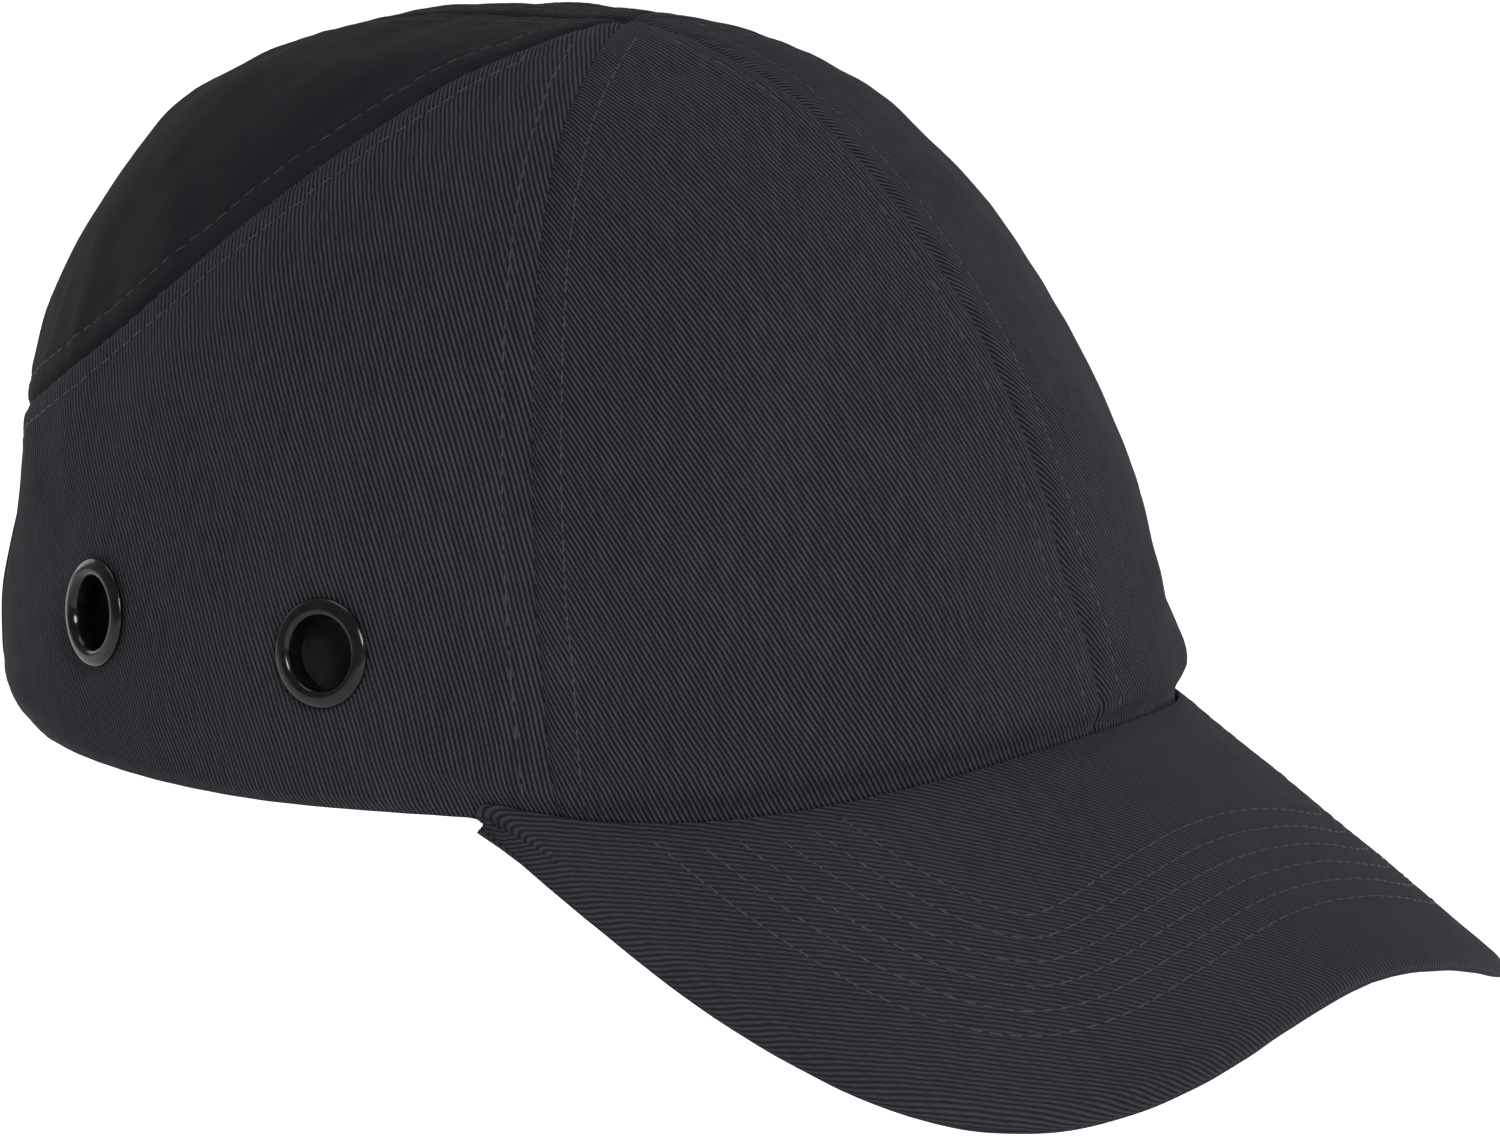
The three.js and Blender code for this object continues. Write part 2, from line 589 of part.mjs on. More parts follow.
/** The eyelets, each a flanged barrel with a washer behind the fabric. */
function makeEyelets() {
  const barrel = EYELET_BORE_RADIUS + EYELET_WALL;
  const wallRadius = FRONT_REACH ** 2 / HALF_WIDTH;
  const sag = EYELET_FLANGE_RADIUS ** 2 / (2 * wallRadius);
  const washerTop = -(COVER_THICKNESS + sag + facetSag + WASHER_GAP);
  const washerBottom = washerTop - WASHER_THICKNESS;
  const curlTop = washerBottom - CLEARANCE;
  const curlBottom = curlTop - EYELET_CURL.thickness;
  const curlRadius = barrel + EYELET_CURL.width;
  const lip = CLEARANCE + EYELET_FLANGE_RISE;
  const eyelet = ring([
    [EYELET_BORE_RADIUS, curlBottom],
    [curlRadius, curlBottom],
    [curlRadius, curlTop],
    [barrel, curlTop],
    [barrel, CLEARANCE],
    [EYELET_FLANGE_RADIUS, CLEARANCE],
    [EYELET_FLANGE_RADIUS - EYELET_LIP.edge, CLEARANCE + EYELET_LIP.side],
    [(barrel + EYELET_FLANGE_RADIUS) / 2, lip],
    [EYELET_BORE_RADIUS + EYELET_LIP.mouth, lip - EYELET_LIP.mouth],
    [EYELET_BORE_RADIUS, lip - EYELET_LIP.throat],
  ]);
  const washer = ring([
    [barrel + CLEARANCE, washerBottom],
    [EYELET_FLANGE_RADIUS, washerBottom],
    [EYELET_FLANGE_RADIUS, washerTop],
    [barrel + CLEARANCE, washerTop],
  ]);
  for (const { side, word } of sides) {
    eyeletPlaces(side).forEach((place, index) => {
      const order = index === 0 ? 'front' : 'rear';
      for (const [name, body] of [['eyelet', eyelet], ['eyelet_washer', washer]]) {
        const mesh = addPiece(`${name}_${word}_${order}`, body, eyeletLook);
        mesh.quaternion.copy(place.turn);
        mesh.position.copy(place.at);
      }
    });
  }
}

/** A dome of the insert, which needs fewer facets than the cover. */
function insertLayer(inset, thickness, topInset) {
  return crownLayer(inset, thickness, topInset, INSERT_COLUMNS, INSERT_ROWS);
}

/** The removable insert: a vented shell with foam pads under it. */
function makeInsert() {
  const padInset = shellInset + SHELL_THICKNESS + CLEARANCE;
  const padTopInset = SHELL_TOP_INSET + SHELL_THICKNESS + CLEARANCE;
  const vents = ventSlots();
  const notch = rearOpening(SHELL_OPENING_MARGIN);
  const shell = insertLayer(shellInset, SHELL_THICKNESS, SHELL_TOP_INSET)
    .intersect(above(SHELL_RIM_HEIGHT))
    .subtract(notch)
    .subtract(vents);
  addPiece('inner_shell', shell, shellLook);
  const foam = insertLayer(padInset, PAD_THICKNESS, padTopInset).subtract(notch);
  const low = SHELL_RIM_HEIGHT + PAD_LIFT;
  const high = CROWN_PAD_FLOOR - PAD_CROWN_GAP;
  const { halfWidth: wide, from: front } = FRONT_PAD;
  const { halfWidth: narrow, from: rear, rise } = REAR_PAD;
  const blocks = {
    front_pad: [{ x: -wide, y: -FAR, z: low }, { x: wide, y: front, z: high }],
    right_pad: [{ x: -FAR, y: SIDE_PAD.front, z: low }, { x: -SIDE_PAD.from, y: SIDE_PAD.back, z: high }],
    left_pad: [{ x: SIDE_PAD.from, y: SIDE_PAD.front, z: low }, { x: FAR, y: SIDE_PAD.back, z: high }],
    rear_pad: [{ x: -narrow, y: rear, z: low }, { x: narrow, y: FAR, z: high + rise }],
  };
  addPiece('crown_pad', foam.intersect(above(CROWN_PAD_FLOOR)).subtract(vents), foamLook);
  for (const [name, [from, to]] of Object.entries(blocks)) {
    addPiece(name, foam.intersect(boxBetween(from, to)), foamLook);
  }
}

makePanels();
makeSeamTapes();
makeOpeningBinding();
makeVisor();
makeHeadBand();
makeStrap();
makeEyelets();
makeInsert();

export default cap;
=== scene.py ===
"""A bump cap: a six-panel twill cap with a curved visor, worn over a removable padded shell.

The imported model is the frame. Lengths in the classes are millimetres, in the frame's own axes: +Z up,
the wearer faces -Y and the wearer's right is -X. Angles round the cap start at the forehead.
"""

from __future__ import annotations

import json
import logging
import math
import sys
from dataclasses import dataclass, field
from enum import Enum
from typing import Callable, Iterable, Sequence

import bpy
import numpy as np
from mathutils import Matrix, Vector
from mathutils.bvhtree import BVHTree

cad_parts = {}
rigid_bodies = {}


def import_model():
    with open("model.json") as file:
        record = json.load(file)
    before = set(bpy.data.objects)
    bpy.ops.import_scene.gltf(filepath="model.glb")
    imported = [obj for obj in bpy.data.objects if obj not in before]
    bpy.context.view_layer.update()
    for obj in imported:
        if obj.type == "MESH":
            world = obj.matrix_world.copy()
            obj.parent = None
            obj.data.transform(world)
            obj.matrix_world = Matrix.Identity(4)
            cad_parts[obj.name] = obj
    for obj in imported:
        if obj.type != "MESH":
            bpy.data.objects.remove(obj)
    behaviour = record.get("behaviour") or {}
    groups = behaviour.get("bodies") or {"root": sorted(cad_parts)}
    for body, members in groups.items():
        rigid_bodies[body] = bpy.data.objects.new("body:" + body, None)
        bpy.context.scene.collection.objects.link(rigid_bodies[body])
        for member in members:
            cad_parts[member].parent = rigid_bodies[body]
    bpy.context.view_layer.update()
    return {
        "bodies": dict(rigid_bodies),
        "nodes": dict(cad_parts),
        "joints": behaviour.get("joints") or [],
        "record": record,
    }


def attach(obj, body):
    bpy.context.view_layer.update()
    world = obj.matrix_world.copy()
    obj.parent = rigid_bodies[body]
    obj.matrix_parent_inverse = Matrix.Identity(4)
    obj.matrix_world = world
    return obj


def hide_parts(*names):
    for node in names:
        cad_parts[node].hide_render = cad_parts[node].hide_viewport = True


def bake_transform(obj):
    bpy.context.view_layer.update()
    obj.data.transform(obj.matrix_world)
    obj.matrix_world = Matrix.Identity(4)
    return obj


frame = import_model()

log = logging.getLogger("bump_cap")

MM = 0.001


class Side(Enum):
    """A side of the cap, as the sign of X on the wearer's side."""

    RIGHT = -1
    LEFT = 1

    @property
    def word(self) -> str:
        """The side's name in lower case."""
        return self.name.lower()


# ---- Small sums ----


def ease(x: np.ndarray, low: float, high: float) -> np.ndarray:
    """Goes smoothly from 0 at low to 1 at high.

    Args:
        x: Where to read it.
        low: The value at which it is 0.
        high: The value at which it is 1.

    Returns:
        The eased share at each x.
    """
    share = np.clip((np.asarray(x, float) - low) / (high - low), 0, 1)
    return share * share * (3 - 2 * share)


def unit(rows: np.ndarray) -> np.ndarray:
    """Each row of an array, made one long."""
    return rows / np.maximum(np.linalg.norm(rows, axis=-1, keepdims=True), 1e-12)


def soft_noise(points: np.ndarray, wavelength: float, seed: int, waves: int = 9) -> np.ndarray:
    """A smooth random field of about unit size.

    Args:
        points: Places in millimetres, with three values in the last axis.
        wavelength: The usual distance from crest to crest.
        seed: Which field.
        waves: How many plane waves are added.

    Returns:
        The field at each place.
    """
    random = np.random.default_rng(seed)
    total = np.zeros(points.shape[:-1])
    for direction in unit(random.normal(size=(waves, 3))):
        pace = 2 * math.pi / (wavelength * random.uniform(0.75, 1.5))
        total += np.sin(points @ direction * pace + random.uniform(0, 2 * math.pi))
    return total * math.sqrt(2 / waves)


def along(line: np.ndarray) -> np.ndarray:
    """The distance along a line of points, from its start."""
    steps = np.linalg.norm(np.diff(line, axis=0), axis=1)
    return np.concatenate([[0.0], np.cumsum(steps)])


def nearest(points: np.ndarray, line: np.ndarray) -> tuple[np.ndarray, np.ndarray]:
    """How far points are from a line, and how far along it the nearest place is.

    Args:
        points: An array of places, with three values in the last axis.
        line: The line's points, close together.

    Returns:
        The distance from the line and the distance along it, in the shape of the points.
    """
    flat = points.reshape(-1, 3)
    travel = along(line)
    away = np.empty(len(flat))
    place = np.empty(len(flat))
    for start in range(0, len(flat), 4000):
        part = flat[start : start + 4000]
        gaps = np.linalg.norm(part[:, None, :] - line[None, :, :], axis=2)
        best = gaps.argmin(axis=1)
        away[start : start + 4000] = gaps[np.arange(len(part)), best]
        place[start : start + 4000] = travel[best]
    return away.reshape(points.shape[:-1]), place.reshape(points.shape[:-1])


def resample(line: np.ndarray, pitch: float, margin: float = 0.0) -> np.ndarray:
    """Points at an even pitch along a line, inside a margin at each end.

    Args:
        line: Points of the line.
        pitch: The distance between points.
        margin: The length left free at each end.

    Returns:
        The new points.
    """
    travel = along(line)
    if travel[-1] <= 2 * margin + pitch:
        return line[:0]
    marks = np.arange(margin, travel[-1] - margin, pitch)
    return np.stack([np.interp(marks, travel, line[:, axis]) for axis in range(3)], axis=1)


# ---- The crown and the visor as surfaces ----


@dataclass
class CrownShape:
    """The egg-like surface that every layer of the crown follows, drawn in by its own inset."""

    half_width: float = 92.0
    front_reach: float = 113.0
    rear_reach: float = 111.0
    height: float = 126.0
    apex_shift: float = -14.0
    shift_power: float = 2.9
    front_fullness: float = 1.85
    side_fullness: float = 2.06
    rear_fullness: float = 3.45
    visor_root: float = 7.5
    visor_slope: float = 0.591
    visor_drop: float = 51.7
    visor_depth: float = 4.5
    visor_end: float = math.radians(69)
    visor_fade: float = math.radians(26)
    seam_yaw: float = math.radians(18.5)
    seam_lean: float = math.radians(6.4)
    opening_half: float = 42.0
    opening_spring: float = 12.0
    _angles: np.ndarray = field(init=False, repr=False)
    _climbs: np.ndarray = field(init=False, repr=False)
    _shares: np.ndarray = field(init=False, repr=False)

    def __post_init__(self) -> None:
        """Measures the meridians, so that places can be given as a share of the way up."""
        self._angles = np.linspace(0, math.pi, 181)
        self._climbs = np.linspace(0, 1, 500) ** 1.7 * (math.pi / 2)
        angle, climb = np.meshgrid(self._angles, self._climbs, indexing="ij")
        steps = np.linalg.norm(np.diff(self.point(angle, climb), axis=1), axis=2)
        travel = np.concatenate([np.zeros((len(self._angles), 1)), np.cumsum(steps, axis=1)], axis=1)
        self._shares = travel / travel[:, -1:]

    def visor_height(self, x: np.ndarray, y: np.ndarray) -> np.ndarray:
        """Height of the visor's top face."""
        fall = self.visor_slope * (-y - self.front_reach)
        return self.visor_root - fall - self.visor_drop * (x / self.half_width) ** 2

    def plan(self, angle: np.ndarray, inset: float) -> tuple[np.ndarray, np.ndarray]:
        """X and Y of the rim."""
        reach = np.where(np.cos(angle) >= 0, self.front_reach, self.rear_reach) - inset
        return -(self.half_width - inset) * np.sin(angle), -reach * np.cos(angle)

    def rim(self, angle: np.ndarray) -> np.ndarray:
        """Height of the rim, which follows the visor in front and lies flat behind.

        Args:
            angle: The angle round the cap.

        Returns:
            Heights in millimetres.
        """
        turn = np.abs(np.arctan2(np.sin(angle), np.cos(angle)))
        x, y = self.plan(np.minimum(turn, self.visor_end), 0)
        fade = ease(turn, self.visor_end, self.visor_end + self.visor_fade)
        return (self.visor_height(x, y) - self.visor_depth) * (1 - fade)

    def fullness(self, angle: np.ndarray) -> np.ndarray:
        """How boxy the upright section is; 2 is an ellipse."""
        ends = np.where(np.cos(angle) >= 0, self.front_fullness, self.rear_fullness)
        return self.side_fullness * np.sin(angle) ** 2 + ends * np.cos(angle) ** 2

    def place(
        self, angle: np.ndarray, out: np.ndarray, up: np.ndarray, inset: float, top: float | None = None
    ) -> np.ndarray:
        """A point where the outline has shrunk to a share and risen to a share.

        Args:
            angle: The angle round the cap.
            out: How much of the rim's outline is left.
            up: How much of the height is climbed.
            inset: How far inside the cover's face the layer is.
            top: Its inset at the top, where that differs.

        Returns:
            Points in millimetres.
        """
        top = inset if top is None else top
        x, y = self.plan(angle, inset)
        rim = self.rim(angle)
        z = rim * (1 - up) + (self.height - top) * up
        return np.stack([x * out, y * out + self.apex_shift * up**self.shift_power, z], axis=-1)

    def point(
        self, angle: np.ndarray, climb: np.ndarray, inset: float = 0.0, top: float | None = None
    ) -> np.ndarray:
        """A point at a climb from 0 at the rim to a quarter turn at the top.

        Args:
            angle: The angle round the cap.
            climb: The climb, in radians.
            inset: How far inside the cover's face the layer is.
            top: Its inset at the top, where that differs.

        Returns:
            Points in millimetres.
        """
        power = 2 / self.fullness(angle)
        climb = np.clip(climb, 0, math.pi / 2)
        return self.place(angle, np.cos(climb) ** power, np.sin(climb) ** power, inset, top)

    def at_height(self, angle: np.ndarray, rise: np.ndarray, inset: float = 0.0) -> np.ndarray:
        """A point at a height above the rim.

        Args:
            angle: The angle round the cap.
            rise: The height above the rim.
            inset: How far inside the cover's face.

        Returns:
            Points in millimetres.
        """
        power = self.fullness(angle)
        up = rise / (self.height - inset - self.rim(angle))
        return self.place(angle, (1 - up**power) ** (1 / power), up, inset)

    def outward(self, angle: float, rise: float) -> np.ndarray:
        """The outward direction at a height above the rim.

        Args:
            angle: The angle round the cap.
            rise: The height above the rim.

        Returns:
            A unit vector.
        """
        here = self.at_height(np.array(angle), np.array(rise))
        round_it = self.at_height(np.array(angle + 0.01), np.array(rise)) - here
        upward = self.at_height(np.array(angle), np.array(rise + 1.0)) - here
        return unit(np.cross(upward, round_it))

    def climb_at(self, angle: np.ndarray, share: np.ndarray) -> np.ndarray:
        """The climb at a share of a meridian's length.

        Args:
            angle: The angle round the cap.
            share: From 0 at the rim to 1 at the top.

        Returns:
            Climbs in radians.
        """
        flat_angle, flat_share = np.ravel(np.abs(angle)), np.ravel(share)
        spot = np.clip(flat_angle / math.pi * (len(self._angles) - 1), 0, len(self._angles) - 1.001)
        row = spot.astype(int)
        found = np.empty(len(spot))
        for low in np.unique(row):
            here = row == low
            first = np.interp(flat_share[here], self._shares[low], self._climbs)
            second = np.interp(flat_share[here], self._shares[low + 1], self._climbs)
            found[here] = first + (second - first) * (spot[here] - low)
        return found.reshape(np.shape(angle))

    def share_at(self, angle: float, up: float) -> float:
        """The share of a meridian's length at a share of the height.

        Args:
            angle: The angle round the cap.
            up: From 0 at the rim to 1 at the top.

        Returns:
            The share, from 0 at the rim to 1 at the top.
        """
        climb = math.asin(min(1.0, up ** (float(self.fullness(np.array(angle))) / 2)))
        spot = min(abs(angle) / math.pi * (len(self._angles) - 1), len(self._angles) - 1.001)
        low = int(spot)
        first = np.interp(climb, self._climbs, self._shares[low])
        second = np.interp(climb, self._climbs, self._shares[low + 1])
        return float(first + (second - first) * (spot - low))

    def unroll(self, angle: float, share: float) -> tuple[float, float]:
        """A place on the crown as a point of a disc whose centre is the top."""
        return (1 - share) * math.sin(angle), (1 - share) * math.cos(angle)

    def from_disc(self, disc: np.ndarray, inset: float = 0.0, top: float | None = None) -> np.ndarray:
        """Points of the crown from points of the disc, on the wearer's right.

        Args:
            disc: Disc points, in the last axis.
            inset: How far inside the cover's face.
            top: The inset at the top, where that differs.

        Returns:
            Points in millimetres.
        """
        angle = np.arctan2(np.maximum(disc[..., 0], 0), disc[..., 1])
        share = 1 - np.hypot(disc[..., 0], disc[..., 1])
        return self.point(angle, self.climb_at(angle, np.clip(share, 0, 1)), inset, top)

    # Each seam is a line of disc points on the wearer's right.

    def front_seam(self) -> np.ndarray:
        """The seam between front and side panels, from the rim to the top.

        Returns:
            Disc points.
        """
        tilt = math.cos(self.seam_lean)
        yaw = self.seam_yaw
        normal = np.array([-math.sin(yaw) * tilt, math.cos(yaw) * tilt, -math.sin(self.seam_lean)])
        apex = np.array([0, self.apex_shift, self.height])
        line = []
        for share in np.linspace(0, 0.985, 130):
            low, high = math.radians(10), math.radians(150)
            for _ in range(40):
                middle = np.array((low + high) / 2)
                spot = self.point(middle, self.climb_at(middle, np.array(share)))
                low, high = (float(middle), high) if (spot - apex) @ normal < 0 else (low, float(middle))
            line.append(self.unroll(low, share))
        return np.array([*line, (0.0, 0.0)])

    def rear_seam(self) -> np.ndarray:
        """The seam under the rear crown panels, from the top to the rear opening.

        Returns:
            Disc points.
        """
        ends = np.array(
            [
                (self.apex_shift, self.height + 2),
                (self.apex_shift + 34, self.height - 13),
                (self.apex_shift + 67, self.height - 69),
                (self.rear_reach, self.height - 76),
            ]
        )
        line = [(0.0, 0.0)]
        for t in np.linspace(0.03, 1, 200):
            weights = np.array([(1 - t) ** 3, 3 * t * (1 - t) ** 2, 3 * t * t * (1 - t), t**3])
            y, z = weights @ ends
            up = z / self.height
            if up >= 0.996:
                continue
            low, high = math.radians(60), math.pi
            for _ in range(40):
                middle = (low + high) / 2
                power = float(self.fullness(np.array(middle)))
                spot = self.place(np.array(middle), np.array((1 - up**power) ** (1 / power)), np.array(up), 0)
                low, high = (middle, high) if spot[1] < y else (low, middle)
            if abs(spot[0]) ** 2 + (z - self.opening_spring) ** 2 <= self.opening_half**2:
                break
            line.append(self.unroll(low, self.share_at(low, up)))
        line.append(self.opening_edge_near(self.from_disc(np.array(line[-1]))))
        return np.array(line)

    def opening_spot(self, travel: float) -> tuple[float, float]:
        """A disc point on the rear opening's edge, a distance along it from the rim.

        Args:
            travel: The distance from the rim.

        Returns:
            The disc point.
        """
        if travel < self.opening_spring:
            x, z = self.opening_half, travel
        else:
            turn = min((travel - self.opening_spring) / self.opening_half, math.pi / 2)
            x = self.opening_half * math.cos(turn)
            z = self.opening_spring + self.opening_half * math.sin(turn)
        up = z / self.height
        low, high = math.pi / 2, math.pi
        for _ in range(40):
            middle = (low + high) / 2
            power = float(self.fullness(np.array(middle)))
            wide = self.half_width * math.sin(middle) * (1 - up**power) ** (1 / power)
            low, high = (middle, high) if wide > x else (low, middle)
        return self.unroll(low, self.share_at(low, up))

    def opening_edge(self, start: float = 0.0, stop: float | None = None) -> np.ndarray:
        """The rear opening's edge from the rim to the middle of its arch, or a part of it."""
        stop = self.opening_length() if stop is None else stop
        return np.array([self.opening_spot(s) for s in np.linspace(start, stop, 90)])

    def opening_length(self) -> float:
        """Length of one half of the opening's edge."""
        return self.opening_spring + self.opening_half * math.pi / 2

    def opening_travel_near(self, spot: np.ndarray) -> float:
        """How far along the opening's edge a place is.

        Args:
            spot: A place in millimetres.

        Returns:
            The distance from the rim.
        """
        marks = np.linspace(0, self.opening_length(), 400)
        edge = self.from_disc(np.array([self.opening_spot(s) for s in marks]))
        return float(marks[np.linalg.norm(edge - spot, axis=1).argmin()])

    def opening_edge_near(self, spot: np.ndarray) -> tuple[float, float]:
        """The disc point of the opening's edge nearest to a place."""
        return self.opening_spot(self.opening_travel_near(spot))

    def rim_line(self, start: float, stop: float) -> np.ndarray:
        """The rim between two angles."""
        return np.array([self.unroll(angle, 0.0) for angle in np.linspace(start, stop, 120)])

    def meridian(self, angle: float, start: float = 0.0) -> np.ndarray:
        """A meridian from a share of its length to the top."""
        return np.array([self.unroll(angle, share) for share in np.linspace(start, 1, 150)])


@dataclass
class VisorShape:
    """The visor's curved sheet and its outline."""

    crown: CrownShape
    reach: float = 58.8
    overhang: float = 1.3
    squareness: float = 3.2
    shoulder: float = 3.1
    root_gap: float = 0.4

    def outline(self, swing: np.ndarray, margin: float) -> np.ndarray:
        """The outer edge in plan, drawn in by a margin.

        Args:
            swing: From -1 on the wearer's left to 1 on the right.
            margin: How far inside the edge.

        Returns:
            X and Y in the last axis.
        """
        crown = self.crown
        half = crown.half_width * math.sin(crown.visor_end) + self.overhang - margin
        start = -crown.front_reach * math.cos(crown.visor_end) - self.shoulder
        tip = -(crown.front_reach + self.reach - margin)
        power = 2 / self.squareness
        turn = swing * math.pi / 2
        across = np.abs(np.sin(turn)) ** power * np.sign(turn)
        forward = np.maximum(np.cos(turn), 0) ** power
        return np.stack([-half * across, start + (tip - start) * forward], axis=-1)

    def root(self, swing: np.ndarray) -> np.ndarray:
        """The inner edge in plan."""
        x, y = self.crown.plan(swing * self.crown.visor_end, -self.root_gap)
        return np.stack([x, y], axis=-1)

    def lift(self, plan: np.ndarray, depth: np.ndarray | float = 0.0) -> np.ndarray:
        """Points of the visor over places in plan, a depth under its top face."""
        z = self.crown.visor_height(plan[..., 0], plan[..., 1]) - depth
        return np.concatenate([plan, z[..., None]], axis=-1)


# ---- Work on meshes ----


def only(obj: bpy.types.Object) -> None:
    """Selects one object and makes it active.

    Args:
        obj: The object.
    """
    bpy.ops.object.select_all(action="DESELECT")
    obj.select_set(True)
    bpy.context.view_layer.objects.active = obj


def new_grid(name: str, columns: int, rows: int) -> bpy.types.Object:
    """Adds a flat grid one unit across, to be shaped.

    Args:
        name: The object's name.
        columns: Faces across.
        rows: Faces up.

    Returns:
        The grid.
    """
    bpy.ops.object.select_all(action="DESELECT")
    bpy.ops.mesh.primitive_grid_add(x_subdivisions=columns, y_subdivisions=rows, size=1)
    obj = bpy.context.active_object
    obj.name = obj.data.name = name
    return obj


def grid_order(obj: bpy.types.Object) -> tuple[np.ndarray, np.ndarray, np.ndarray]:
    """Finds the rows and columns of a new grid.

    Args:
        obj: A grid that hasn't been shaped yet.

    Returns:
        Vertex numbers in rows, and u and v from 0 to 1 in the same rows.
    """
    flat = np.empty(len(obj.data.vertices) * 3)
    obj.data.vertices.foreach_get("co", flat)
    spots = np.round(flat.reshape(-1, 3)[:, :2] + 0.5, 5)
    order = np.lexsort((spots[:, 0], spots[:, 1]))
    columns = len(np.unique(spots[:, 0]))
    order = order.reshape(-1, columns)
    return order, spots[order][..., 0], spots[order][..., 1]


def set_points(obj: bpy.types.Object, order: np.ndarray, points: np.ndarray) -> None:
    """Moves a grid's vertices to points given in millimetres, in rows.

    Args:
        obj: The grid.
        order: Vertex numbers in rows.
        points: Their places.
    """
    places = np.empty((len(obj.data.vertices), 3))
    places[order.ravel()] = points.reshape(-1, 3) * MM
    obj.data.vertices.foreach_set("co", places.ravel())
    obj.data.update()


def set_uv(obj: bpy.types.Object, order: np.ndarray, cloth: np.ndarray) -> None:
    """Gives a grid a UV map in metres of cloth.

    Args:
        obj: The grid.
        order: Vertex numbers in rows.
        cloth: Places on the flat cloth in millimetres.
    """
    values = np.empty((len(obj.data.vertices), 2))
    values[order.ravel()] = cloth.reshape(-1, 2) * MM
    layer = obj.data.uv_layers.active or obj.data.uv_layers.new(name="cloth")
    layer.name = "cloth"
    corners = np.empty(len(obj.data.loops), int)
    obj.data.loops.foreach_get("vertex_index", corners)
    layer.data.foreach_set("uv", values[corners].ravel())


def apply_modifier(obj: bpy.types.Object, kind: str, **settings: object) -> None:
    """Adds a modifier with its settings and applies it.

    Args:
        obj: The object.
        kind: The modifier's type.
        settings: Its properties.
    """
    only(obj)
    modifier = obj.modifiers.new(kind.lower(), kind)
    for key, value in settings.items():
        setattr(modifier, key, value)
    bpy.ops.object.modifier_apply(modifier=modifier.name)


def bevel(obj: bpy.types.Object, width: float, degrees: float) -> None:
    """Rounds the edges sharper than an angle by a width in millimetres.

    Args:
        obj: The object.
        width: The bevel's width.
        degrees: The angle.
    """
    angle = math.radians(degrees)
    apply_modifier(obj, "BEVEL", width=width * MM, segments=2, limit_method="ANGLE", angle_limit=angle)


def tidy_mesh(obj: bpy.types.Object, merge: float = 1e-5, outward: bool = False) -> None:
    """Merges doubled vertices, and turns the faces outwards if asked.

    Args:
        obj: The object.
        merge: The distance within which vertices merge, in metres.
        outward: Whether normals are recalculated.
    """
    only(obj)
    bpy.ops.object.mode_set(mode="EDIT")
    bpy.ops.mesh.select_all(action="SELECT")
    bpy.ops.mesh.remove_doubles(threshold=merge)
    if outward:
        bpy.ops.mesh.normals_make_consistent(inside=False)
    bpy.ops.object.mode_set(mode="OBJECT")


def turn_outward(obj: bpy.types.Object, centre: Sequence[float], inward: bool = False) -> None:
    """Flips an open sheet if its faces look towards a centre, given in millimetres.

    Args:
        obj: The sheet.
        centre: The centre.
        inward: Whether the faces should look towards it instead.
    """
    middle = Vector(centre) * MM
    score = 0.0
    for face in obj.data.polygons:
        score += (face.center - middle).normalized().dot(face.normal) * face.area
    if (score < 0) != inward:
        obj.data.flip_normals()


def smooth(obj: bpy.types.Object, degrees: float = 40.0) -> None:
    """Shades smooth, with edges sharper than an angle kept."""
    only(obj)
    bpy.ops.object.shade_smooth_by_angle(angle=math.radians(degrees))


def row_normals(points: np.ndarray) -> np.ndarray:
    """Normals of a surface given as rows of points.

    Args:
        points: The rows.

    Returns:
        Unit normals in the same rows.
    """
    across = np.gradient(points, axis=1)
    upward = np.gradient(points, axis=0)
    normals = np.cross(across, upward)
    size = np.linalg.norm(normals, axis=-1)
    for row in range(len(points)):
        if size[row].max() < 1e-6 and row > 0:
            normals[row] = normals[row - 1].mean(axis=0)
    return unit(normals)


def cloth_plan(points: np.ndarray) -> np.ndarray:
    """Lays rows of points flat: across from the middle column, and up along it.

    Args:
        points: The rows.

    Returns:
        Flat places in millimetres.
    """
    middle = points.shape[1] // 2
    steps = np.linalg.norm(np.diff(points, axis=1), axis=2)
    across = np.concatenate([np.zeros((len(points), 1)), np.cumsum(steps, axis=1)], axis=1)
    across -= across[:, middle : middle + 1]
    upward = np.broadcast_to(along(points[:, middle])[:, None], across.shape)
    return np.stack([across, upward], axis=-1)


def sheet_area(points: np.ndarray) -> float:
    """Area in square metres of rows of points in millimetres.

    Args:
        points: The rows.

    Returns:
        The area.
    """
    across = points[:-1, 1:] - points[:-1, :-1]
    upward = points[1:, :-1] - points[:-1, :-1]
    first = np.linalg.norm(np.cross(across, upward), axis=-1).sum()
    back = points[1:, :-1] - points[1:, 1:]
    down = points[:-1, 1:] - points[1:, 1:]
    return float(first + np.linalg.norm(np.cross(back, down), axis=-1).sum()) / 2 * MM * MM


def coons(bottom: np.ndarray, top: np.ndarray, left: np.ndarray, right: np.ndarray) -> Callable:
    """A patch between four lines of disc points, each with its own even spacing.

    Args:
        bottom: From the left line's start to the right line's.
        top: From the left line's end to the right line's.
        left: Upwards.
        right: Upwards.

    Returns:
        A function from rows of u and v to rows of disc points.
    """

    def read(line: np.ndarray, share: np.ndarray) -> np.ndarray:
        """Points of a line at shares of its length."""
        marks = np.linspace(0, 1, len(line))
        return np.stack([np.interp(share, marks, line[:, axis]) for axis in range(2)], axis=-1)

    def patch(u: np.ndarray, v: np.ndarray) -> np.ndarray:
        """Blends the four lines over rows of u and v."""
        over, up = u[..., None], v[..., None]
        ruled = (1 - up) * read(bottom, u) + up * read(top, u)
        ruled = ruled + (1 - over) * read(left, v) + over * read(right, v)
        corners = (1 - over) * (1 - up) * bottom[0] + over * (1 - up) * bottom[-1]
        return ruled - corners - (1 - over) * up * top[0] - over * up * top[-1]

    return patch


